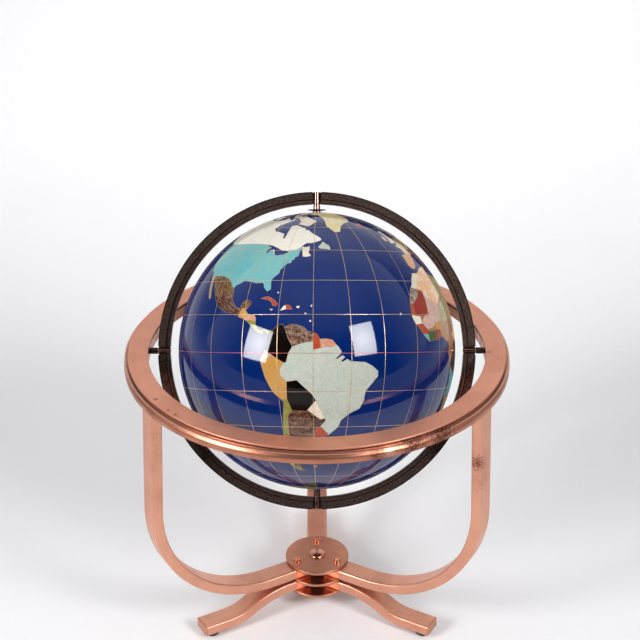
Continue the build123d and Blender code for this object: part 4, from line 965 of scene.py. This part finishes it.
def makeBall():
    places, faces = cutMap()
    mesh = plainMesh("stoneBall", [tuple(spot) for spot in onBall(places)], [], faces.tolist())
    for stone in stones.values():
        mesh.materials.append(stone)
    mesh.polygons.foreach_set("material_index", stonesOfFaces(places, faces))
    work = bmesh.new()
    work.from_mesh(mesh)
    bmesh.ops.remove_doubles(work, verts=work.verts, dist=ball["onePoint"])
    bmesh.ops.dissolve_degenerate(work, edges=work.edges, dist=ball["shortestEdge"])
    for face in work.faces:
        if face.normal.dot(face.calc_center_median() - centre) < 0:
            face.normal_flip()
    seams = [
        [vert.co.copy() for vert in edge.verts] for edge in work.edges
        if len({face.material_index for face in edge.link_faces}) == 2
    ]
    work.to_mesh(mesh)
    work.free()
    smoothed(mesh)
    mesh.normals_split_custom_set_from_vertices([(vert.co - centre).normalized() for vert in mesh.vertices])
    return linked("stoneBall", mesh), seams


stoneBall, seamEdges = makeBall()
seat(stoneBall, "globe", "ocean_stone", "ocean_shell", *nodesNamed("inlay_"))


# metals
# edges: 0 or 1 for across or upright, place and width in millimetres, colour, roughness; each edge line is
# painted shade or a painted highlight
# stainsAndHighlights: middle and reach in metres, colour, roughness; stains and rubbed marks, and on the rim
# one painted highlight
metals = {
    "plate": metalMaterial(
        "brushedCopper", (220, 148, 120), (244, 182, 156), (146, 86, 62), bump=0.25, metallic=0.8, sheen=0.38,
        brush=(1600, 14, 0.5), tarnish=(26, 0.2), pits=(450, 0.6),
        stainsAndHighlights=[((0.203, -0.0128, 0.365), 0.006, (170, 104, 84), 0.5),
              ((-0.1816, -0.1206, 0.365), 0.005, (120, 62, 48), 0.6),
              ((-0.1654, -0.1435, 0.365), 0.004, (120, 62, 48), 0.6),
              ((-0.1571, -0.1529, 0.365), 0.004, (120, 62, 48), 0.6)],
    ),
    "rim": metalMaterial(
        "rolledCopper", (184, 116, 90), (226, 166, 140), (98, 52, 38), bump=0.2, metallic=0.88, sheen=0.31,
        brush=(1800, 10, 0.45), tarnish=(34, 0.36), pits=(450, 0.6),
        # painted shade: a dark line in the groove under the plate's edge; painted highlight: a pale line on
        # the top of the lip
        edges=[(1.0, 5.5, 1.7, (24, 12, 9), 0.9), (1.0, 4.2, 0.6, (216, 170, 150), 0.35)],
        # the first place is a painted highlight on the upper band; the other three are brown stains
        stainsAndHighlights=[((0.0785, -0.2144, 0.3575), 0.012, (246, 206, 172), 0.3),
              ((0.0635, -0.2192, 0.353), 0.016, (112, 62, 46), 0.5),
              ((0.106, -0.2021, 0.3565), 0.03, (88, 48, 36), 0.55),
              ((0.137, -0.183, 0.3545), 0.036, (92, 50, 38), 0.55)],
    ),
    "leg": metalMaterial(
        "drawnCopper", (222, 154, 126), (246, 194, 170), (150, 90, 66), bump=0.2, metallic=0.9, sheen=0.34,
        brush=(1400, 6, 0.5), tarnish=(22, 0.24), pits=(450, 0.6),
        stainsAndHighlights=[((0.1838, -0.1212, 0.2795), 0.02, (138, 82, 64), 0.55)],
    ),
    "hub": metalMaterial(
        "turnedCopper", (202, 138, 112), (226, 168, 142), (140, 84, 62), bump=0.25, brush=(1500, 30, 0.5),
    ),
    "bolt": metalMaterial(
        "polishedCopper", (214, 150, 122), (236, 184, 158), (150, 92, 70), bump=0.1, sheen=0.2,
        brush=(1500, 30, 0.4), tarnish=(30, 0.15),
    ),
    "connector": metalMaterial(
        "brightCopper", (130, 94, 86), (182, 148, 138), (56, 36, 32), bump=0.15, sheen=0.16,
        brush=(1800, 60, 0.5), tarnish=(160, 0.5),
    ),
    "bronze": metalMaterial(
        "antiqueBronze", (52, 43, 40), (118, 97, 89), (16, 13, 13), bump=0.6, sheen=0.4,
        brush=(1000, 380, 0.85), tarnish=(420, 0.8), pits=(1100, 0.9),
        # painted shade beside the step and along the outer edge; painted highlights on the step and along the
        # inner edge
        edges=[(0.0, -1.9, 0.6, (20, 15, 15), 0.5), (0.0, -3.1, 0.7, (136, 108, 98), 0.35),
               (0.0, 7.1, 1.5, (14, 10, 10), 0.5), (0.0, -7.1, 0.6, (84, 58, 52), 0.4)],
    ),
    "darkBronze": metalMaterial(
        "darkBronze", (52, 38, 36), (104, 80, 74), (22, 15, 15), bump=0.3, sheen=0.34,
        brush=(1300, 300, 0.7), tarnish=(260, 0.6),
    ),
    "steel": metalMaterial(
        "pinSteel", (168, 166, 162), (206, 204, 200), (96, 94, 92), bump=0.1, sheen=0.26,
        brush=(1800, 60), tarnish=(90,), pits=(900,),
    ),
    "innerSteel": metalMaterial(
        "zincSteel", (150, 152, 154), (190, 192, 194), (92, 92, 92), bump=0.2, sheen=0.42,
        tarnish=(140, 0.6), pits=(700, 0.4),
    ),
    "wire": metalMaterial(
        "wireGold", (212, 178, 142), (236, 206, 164), (120, 92, 70), bump=0.1, metallic=0.8,
        brush=(3000, 20), tarnish=(60, 0.4),
    ),
    "equator": metalMaterial(
        "wireCopper", (196, 92, 96), (218, 122, 120), (112, 50, 48), bump=0.1, metallic=0.5,
        brush=(3000, 20), tarnish=(60, 0.4),
    ),
    "seam": metalMaterial(
        "seamFill", (150, 120, 86), (186, 156, 116), (84, 64, 46), bump=0.1, metallic=0.2, tarnish=(80, 0.6),
    ),
}


# wires of the ball, with their numbers in degrees and millimetres
wires = {
    "meridians": [-180, -165, -150, -135, -120, -105, -89, -74, -60, -45, -31, -15, *range(0, 180, 15)],
    "parallels": [-75, -60, -45, -30, -15, 15, 29.3, 44.35, 60, 75],
    "poleEnd": 86.2, "width": 0.56, "sunk": 0.3, "proud": 0.045, "equatorProud": 0.054,
}


def lensOutline(width, sunk, proud):
    shares = ((-1, -sunk), (1, -sunk), (0.94, 0.1 * proud), (0.5, 0.8 * proud), (0, proud),
              (-0.5, 0.8 * proud), (-0.94, 0.1 * proud))
    return [(share * width / 2, height) for share, height in shares]


def parallelLine(latitude, count=180):
    return onBall([(-180 + 360 * k / count, latitude) for k in range(count)])


meridianLines = [
    onBall(straight((longitude, -wires["poleEnd"]), (longitude, wires["poleEnd"]), 72))
    for longitude in wires["meridians"]
]
parallelLines = [parallelLine(latitude) for latitude in wires["parallels"]]
for name, lines, proud, metal, closed in (
    ("meridianWires", meridianLines, "proud", "wire", False),
    ("parallelWires", parallelLines, "proud", "wire", True),
    ("equatorWire", [parallelLine(0)], "equatorProud", "equator", True),
):
    outline = lensOutline(wires["width"], wires["sunk"], wires[proud])
    seat(sweep(name, lines, outline, metals[metal], centre, closed), "globe", "brass_bush")


def seamLines():
    # the joints between stones, as loose lines that share their points
    spots, edges, known = [], [], {}
    for pair in seamEdges:
        keys = [tuple(round(value, 7) for value in spot) for spot in pair]
        for key, spot in zip(keys, pair):
            if key not in known:
                known[key] = len(spots)
                spots.append(tuple(spot))
        edges.append([known[key] for key in keys])
    return linked("stoneSeamsLine", plainMesh("stoneSeamsLine", spots, edges))


outline = lensOutline(ball["seamWidth"], ball["seamSunk"], ball["seamProud"])
seat(drawn(seamLines(), "stoneSeams", outline, metals["seam"], centre), "globe", "brass_bush")


# meridian ring: four stepped arcs, with a tube between their ends at each pin
meridian = {
    "inner": 173.5, "outer": 188.1, "stepRadius": 178.1, "half": 6.0, "rimHalf": 4.6, "endTrim": 1.6,
    "tubeRadius": 3.7, "tubeBore": 2.56, "tubeLength": 14.6, "tenonHalf": 2.0, "tenonHeight": 6.9,
    "tenonStart": 1.0, "tenonEnd": 2.3,
}
quarters = (0, 90, 180, 270)
pinWays = {"right": across, "north": pole, "left": -across, "south": -pole}
middleRadius = (meridian["inner"] + meridian["outer"]) / 2


def ringLine(start, end, step=1.0):
    # along the middle of the meridian ring, from one angle to another in degrees
    count = max(2, round((end - start) / step))
    turns = [math.radians(start + (end - start) * k / count) for k in range(count + 1)]
    ways = [across * math.cos(turn) + pole * math.sin(turn) for turn in turns]
    return [centre + way * (middleRadius * mm) for way in ways]


def box(half, height):
    return [(-half, -height), (half, -height), (half, height), (-half, height)]


def arcOutline(spec):
    # corners with the radius of their rounding
    half, rim, inner, step, outer = (spec[key] for key in ("half", "rimHalf", "inner", "stepRadius", "outer"))
    corners = [
        (-rim, inner, 0.5), (rim, inner, 0.5), (rim, step, 0.3), (half, step, 0.5),
        (half, outer, 0.7), (-half, outer, 0.7), (-half, step, 0.5), (-rim, step, 0.3),
    ]
    return rounded([(x, y - middleRadius) for x, y, radius in corners], [corner[2] for corner in corners])


def tubeShape(bore, radius, length, cornerRadii, turnStep):
    return rounded([(bore, 0), (radius, 0), (radius, length), (bore, length)], cornerRadii, turnStep=turnStep)


def onPins(name, outline, ways, distance, metal, segments=48):
    # turned on the axes of pins, at a distance in millimetres from the middle of the ball
    places = [(centre + pinWays[way] * (distance * mm), pinWays[way]) for way in ways]
    return finished(turned(name, outline, places, segments), metals[metal])


trim = meridian["endTrim"]
arcs = sweep(
    "meridianArcs", [ringLine(turn + trim, turn + 90 - trim) for turn in quarters], arcOutline(meridian),
    metals["bronze"], centre,
)
seat(arcs, "meridian", "antique_bronze", *nodesNamed("meridian_arc_"))

tubeOutline = tubeShape(
    meridian["tubeBore"], meridian["tubeRadius"], meridian["tubeLength"], [0.2, 0.35, 0.35, 0.2], 30,
)
connectorTubes = onPins("connectorTubes", tubeOutline, pinWays, meridian["inner"], "connector")
seat(connectorTubes, "meridian", "copper_bright", *nodesNamed("ring_connector_"))

tenonOutline = rounded(box(meridian["tenonHalf"], meridian["tenonHeight"]), 0.3, turnStep=30)
tenonLines = [
    ringLine(turn + side * meridian["tenonStart"], turn + side * meridian["tenonEnd"], 0.4)
    for turn in quarters for side in (-1, 1)
]
tenons = sweep("connectorTenons", tenonLines, tenonOutline, metals["darkBronze"], centre)
seat(tenons, "meridian", "copper_bright")


# sleeves on the pins, and the dished washer at the north pole
sleeves = {"radius": 4.0, "bore": 2.53, "feet": {"north": 166.53, "south": 165.9}, "top": 173.4}
for name, metal in (("north", "connector"), ("south", "darkBronze")):
    foot = sleeves["feet"][name]
    outline = tubeShape(sleeves["bore"], sleeves["radius"], sleeves["top"] - foot, [0.15, 0.4, 0.4, 0.15], 22)
    piece = onPins(name + "Sleeve", outline, [name], foot, metal)
    seat(piece, "meridian", "copper_bright", "axis_sleeve_" + name)

washer = {"bore": 2.53, "flat": 4.3, "rim": 10.7, "edge": 0.25, "rise": 0.9, "thick": 0.5, "seat": 165.9}


def washerOutline(spec, steps=10):
    run = spec["rim"] - spec["flat"]
    bend = (run * run + spec["rise"] ** 2) / (2 * spec["rise"])
    dish = arc((spec["flat"], bend), bend, -math.pi / 2, math.asin(run / bend) - math.pi / 2, steps)
    lower = [(spec["bore"], 0)] + dish
    edge = (spec["rim"] + spec["edge"], spec["rise"] + spec["thick"] / 2)
    return lower + [edge] + [(radius, height + spec["thick"]) for radius, height in reversed(lower)]


cupWasher = onPins("cupWasher", washerOutline(washer), ["north"], washer["seat"], "darkBronze", 64)
seat(cupWasher, "meridian", "dark_bronze", "cup_washer_north")

pivots = {
    "radius": 3.8, "bore": 2.53, "start": 188.7, "end": 199.43, "edge": 0.3, "grooves": 5,
    "grooveDepth": 0.18, "grooveHalf": 0.25, "grooveFloor": 0.1,
}


def pivotOutline(spec):
    # a sleeve with fine turned grooves
    length, radius, edge = spec["end"] - spec["start"], spec["radius"], spec["edge"]
    half, floor, deep = spec["grooveHalf"], spec["grooveFloor"], radius - spec["grooveDepth"]
    line = [(spec["bore"], 0.0), (radius - edge, 0.0), (radius, edge)]
    for k in range(spec["grooves"]):
        middle = length * (k + 1) / (spec["grooves"] + 1)
        line += [(radius, middle - half), (deep, middle - floor)]
        line += [(deep, middle + floor), (radius, middle + half)]
    return line + [(radius, length - edge), (radius - edge, length), (spec["bore"], length)]


for name in ("right", "left"):
    piece = onPins(name + "PivotSleeve", pivotOutline(pivots), [name], pivots["start"], "darkBronze")
    seat(piece, "stand", "dark_bronze", "pivot_sleeve_" + name)


# horizon ring: flat brushed plate inside a rim with a groove, a lip and a crowned band
# corners as height, radius and the radius of their rounding
horizon = {
    "plate": [(363.8, 199.5, 0.1), (365.0, 199.5, 0.45), (365.0, 223.8, 0.8), (363.8, 223.8, 0.1)],
    "rim": [
        (348.0, 199.5, 0.5), (363.8, 199.5, 0), (363.8, 223.8, 0), (362.4, 223.8, 0.3),
        (362.4, 222.6, 0.2), (359.3, 222.6, 0.3), (359.3, 225.1, 0.3), (360.2, 225.1, 0.35),
        (360.2, 227.7, 0.45), (359.0, 227.7, 0.3), (359.0, 226.0, 0.15), (358.4, 226.0, 0.15),
        (354.4, 228.5, 6.0), (348.0, 227.8, 0.5),
    ],
}


def horizonRing(name, corners, turnStep, metal, count=288):
    heights, radii, cornerRadii = zip(*corners)
    level, middle = (min(heights) + max(heights)) / 2, (min(radii) + max(radii)) / 2
    section = [(height - level, radius - middle) for height, radius in zip(heights, radii)]
    outline = rounded(section, cornerRadii, turnStep=turnStep)
    turns = [math.tau * k / count for k in range(count)]
    line = [Vector((math.cos(turn) * middle, math.sin(turn) * middle, level)) * mm for turn in turns]
    return sweep(name, [line], outline, metal, (0, 0, level * mm), closed=True)


plate = horizonRing("horizonPlate", horizon["plate"], 18, metals["plate"])
seat(plate, "stand", "copper_brushed", "horizon_top_plate")
seat(horizonRing("horizonRim", horizon["rim"], 10, metals["rim"]), "stand", "copper_rolled", "horizon_rim")


# legs and feet: one of each made behind the ball, then set three times round the stand
tube = {"half": 13.0, "halfDepth": 6.75, "corner": 2.2, "leastCorner": 0.5}
legs = {
    "top": 348.3, "topRadius": 216.1, "radiusAt": 348.0, "splay": 2.1, "bend": 150.0, "arm": 52.5,
    "armEnd": 17.0,
}
feet = {
    "height": 35.0, "start": 17.0, "knee": 45.0, "kneeBend": 110.0, "toeBend": 60.0, "toe": 12.75,
    "end": 163.0,
}
sides = ("back", "left", "right")


def tubeOutlineOf(spec, inset=0.0):
    corners = box(spec["half"] - inset, spec["halfDepth"] - inset)
    return rounded(corners, max(spec["corner"] - inset, spec["leastCorner"]), turnStep=15)


def legLine(spec):
    # radius and height, down the leg and in along its level arm
    splay, bend, arm = math.radians(spec["splay"]), spec["bend"], spec["arm"]
    bendTop = arm + bend * (1 + math.sin(splay))
    bendRadius = spec["topRadius"] + (spec["radiusAt"] - bendTop) * math.tan(splay)
    startRadius = spec["topRadius"] - (spec["top"] - spec["radiusAt"]) * math.tan(splay)
    middle = (bendRadius - bend * math.cos(splay), arm + bend)
    line = straight((startRadius, spec["top"]), (bendRadius, bendTop), 10)[:-1]
    line += arc(middle, bend, splay, -math.pi / 2, 40)
    return line + straight((middle[0], arm), (spec["armEnd"], arm), 5)[1:]


def footLine(spec):
    # radius and height, out along the foot and down to its toe
    height, knee, toe = spec["height"], spec["knee"], spec["toe"]
    kneeBend, toeBend = spec["kneeBend"], spec["toeBend"]
    turn = math.acos(1 - (height - toe) / (kneeBend + toeBend))
    toeStart = knee + (kneeBend + toeBend) * math.sin(turn)
    down = -math.pi / 2
    line = straight((spec["start"], height), (knee, height), 4)
    line += arc((knee, height - kneeBend), kneeBend, -down, -down - turn, 16)[1:]
    line += arc((toeStart, toe + toeBend), toeBend, down - turn, down, 12)[1:]
    return line + straight((toeStart, toe), (spec["end"], toe), 4)[1:]


for name, start, line, middle in (
    ("standLegs", "leg_", legLine(legs), (0, 0.06, 0.3)), ("standFeet", "foot_", footLine(feet), (0, 0, 1.0)),
):
    behind = [Vector((0, radius, height)) * mm for radius, height in line]
    part = sweep(name, [behind], tubeOutlineOf(tube), metals["leg"], middle)
    seat(aroundStand(part, metals["leg"]), "stand", "copper_leg", *[start + side for side in sides])


def footCap(layers):
    # outlines of a shrinking tube joined one to the next outwards, closed at both ends
    work = bmesh.new()
    rings = []
    for inset, distance in layers:
        spots = [Vector((x, feet["end"] + distance, feet["toe"] + y)) for x, y in tubeOutlineOf(tube, inset)]
        rings.append([work.verts.new(spot * mm) for spot in spots])
    for low, top in zip(rings, rings[1:]):
        for k in range(len(low)):
            after = (k + 1) % len(low)
            work.faces.new([low[k], low[after], top[after], top[k]])
    work.faces.new(rings[0])
    work.faces.new(rings[-1])
    return fromWork("footCaps", work)


capLayers = [(1.6, -8.0), (1.6, 0.0), (0.0, 0.0), (0.0, 1.3), (0.15, 1.7), (0.5, 1.93), (1.0, 2.0)]
footCaps = aroundStand(finished(footCap(capLayers), metals["hub"]), metals["hub"])
seat(footCaps, "stand", "copper_cap", "foot_caps")


def rubberMaterial(name, base, second):
    material, tree, surface = newMaterial(name, {})
    place = onObject(tree)
    grain, dust = noiseOf(place, 1400.0, 4.0, 0.7), noiseOf(place, 90.0, 4.0)
    relief = addNode(tree, "Bump", {"Strength": 0.4, "Distance": 0.0002, "Height": grain})
    fill(surface, {
        "Base Color": mixed(spread(dust, 0.4, 0.75), tone(*base), tone(*second)),
        "Roughness": spread(grain, 0.3, 0.7, 0.6, 0.85), "Normal": relief.outputs[0],
    })
    return material


rubber = rubberMaterial("padRubber", (30, 29, 28), (66, 62, 58))
resin = rubberMaterial("coreResin", (206, 198, 180), (178, 168, 148))
pads = {
    "place": 152.0,
    "shape": [
        (0, 0), (8.4, 0), (9, 0.25), (9.5, 0.9), (9.5, 5.2), (9.2, 5.8), (8.8, 6), (3, 6), (3, 9), (0, 9),
    ],
}


def upright(name, shape, material, segments, place=0.0, height=0.0):
    # turned on an upright axis, at a distance behind the middle of the stand
    spot = ((0, place * mm, height * mm), (0, 0, 1))
    return finished(turned(name, shape, [spot], segments), material)


pad = upright("footPads", pads["shape"], rubber, 40, pads["place"])
seat(aroundStand(pad, rubber), "stand", "rubber_pad", "foot_pads")


# hub: three discs held by a domed bolt and three screws
hub = {
    "radius": 40.0, "thick": 4.0, "edge": 1.0, "tops": {"bottom": 24.25, "middle": 41.75, "top": 59.25},
    "ribs": [10.0, 20.0, 30.0], "dome": {"radius": 10.0, "foot": 63.6, "rise": 4.15}, "screwPlace": 29.0,
    "bolt": [(0, 9.75), (3.6, 9.75), (4, 10.2), (4, 63.25), (9.6, 63.25), (10, 63.5)],
    "screw": [
        (0, 24.4), (2.5, 24.4), (2.5, 63.25), (4.4, 63.25), (4.6, 63.5), (4.6, 65.9),
        (4.45, 66.3), (4.05, 66.45), (1.9, 66.45), (1.6, 66.2), (1.6, 64.85), (0, 64.85),
    ],
}


def discShape(spec):
    # extra rings on both faces keep their triangles short
    radius, thick, edge, ribs = spec["radius"], spec["thick"], spec["edge"], spec["ribs"]
    shape = rounded([(0, 0), (radius, 0), (radius, thick), (0, thick)], [0, edge, edge, 0], False, 15)
    upper = [(rib, thick) for rib in reversed(ribs)]
    return shape[:1] + [(rib, 0) for rib in ribs] + shape[1:-1] + upper + shape[-1:]


def domeLine(spec, steps=10):
    # a quarter of an oval, to the step before its top
    radius, foot, rise = spec["radius"], spec["foot"], spec["rise"]
    turns = [math.pi / 2 * k / steps for k in range(1, steps)]
    return [(radius * math.cos(turn), foot + rise * math.sin(turn)) for turn in turns]


for name, height in hub["tops"].items():
    disc = upright(name + "HubDisc", discShape(hub), metals["hub"], 120, height=height)
    seat(disc, "stand", "copper_hub", "hub_disc_" + name)
boltShape = hub["bolt"] + domeLine(hub["dome"]) + [(0, hub["dome"]["foot"] + hub["dome"]["rise"])]
seat(upright("hubBolt", boltShape, metals["bolt"], 64), "stand", "copper_bolt", "hub_bolt")
screw = upright("hubScrews", hub["screw"], metals["bolt"], 36, hub["screwPlace"])
seat(aroundStand(screw, metals["bolt"]), "stand", "copper_bolt", "hub_screws")


# finishes of the pieces carried over as they are
finishes = [
    (metals["steel"], ["axis_pin_north", "axis_pin_south", *nodesNamed("pivot_pin_", "pivot_nut_")]),
    (metals["connector"], ["pole_bush_north", "pole_bush_south"]),
    (metals["innerSteel"], ["leg_plugs", "leg_screws", "hub_nut"]),
    (resin, ["globe_core_north", "globe_core_south", "equator_band"]),
]
for material, names in finishes:
    for name in names:
        dress(nodes[name], material)
print("frame pieces given their finish")


# pale floor that curves up into the backdrop
stageSizes = {"half": 9.0, "near": -10.0, "front": -1.0, "bendStart": 1.5, "bend": 0.7, "height": 3.2}


def makeBackdrop(spec):
    start, bend = spec["bendStart"], spec["bend"]
    line = [(spec["near"], 0.0), (spec["front"], 0.0)] + arc((start, bend), bend, -math.pi / 2, 0.0, 16)
    line.append((start + bend, spec["height"]))
    spots = [(x * spec["half"], y, z) for y, z in line for x in (-1, 1)]
    faces = [(2 * k, 2 * k + 1, 2 * k + 3, 2 * k + 2) for k in range(len(line) - 1)]
    mesh = plainMesh("backdrop", spots, [], faces)
    smoothed(mesh)
    return linked("backdrop", mesh)


def floorMaterial():
    material, tree, surface = newMaterial("paleFloor", {"Roughness": 0.8})
    cloud = noiseOf(onObject(tree), 3.0, 2.0)
    fill(surface, {"Base Color": mixed(cloud, tone(244, 244, 245), tone(240, 240, 242))})
    return material


dress(makeBackdrop(stageSizes), floorMaterial())


# two softboxes and a sky that is dark in front and bright behind
# each: place, aim, width and height, power, spread and roll in degrees
lights = {
    "leftBox": ((-1.596, -1.181, 1.235), (0, 0, 0.36), (0.78, 0.9), 6.3, 70, 10),
    "rightBox": ((1.298, -1.342, 1.475), (0, 0, 0.36), (0.72, 0.9), 5.3, 70, -12),
    "wallLight": ((0, 0.9, 2.8), (0, 1.9, 2.45), (3.4, 0.5), 26.6, 180, 0),
    "floorLight": ((0, 1.0, 1.9), (0, 2.0, 0.15), (3.4, 0.5), 10.4, 100, 0),
}
for name, (place, aim, size, power, beam, roll) in lights.items():
    data = bpy.data.lights.new(name, "AREA")
    data.shape = "RECTANGLE"
    data.size, data.size_y = size
    data.energy = power
    data.spread = math.radians(beam)
    lamp = linked(name, data)
    lamp.location = place
    facing = (Vector(aim) - lamp.location).to_track_quat("-Z", "Y")
    lamp.rotation_euler = (facing @ Quaternion((0, 0, 1), math.radians(roll))).to_euler()

sky = {"front": 0.02, "back": 0.9, "top": 0.6}


def makeSky(spec):
    world = bpy.data.worlds.new("studio")
    world.use_nodes = True
    tree = world.node_tree
    way = parted(addNode(tree, "TexCoord").outputs["Generated"])
    behind = spread(way[1], -0.4, 0.5, spec["front"], spec["back"])
    above = spread(way[2], 0.55, 0.95, 0.0, spec["top"])
    strength = maths("MAXIMUM", behind, above)
    fill(tree.nodes["Background"], {"Color": (1.0, 1.0, 1.0, 1.0), "Strength": strength})
    sceneNow.world = world


makeSky(sky)
print("backdrop, lights and sky set")


# the view layer brought up to date
bpy.context.view_layer.update()
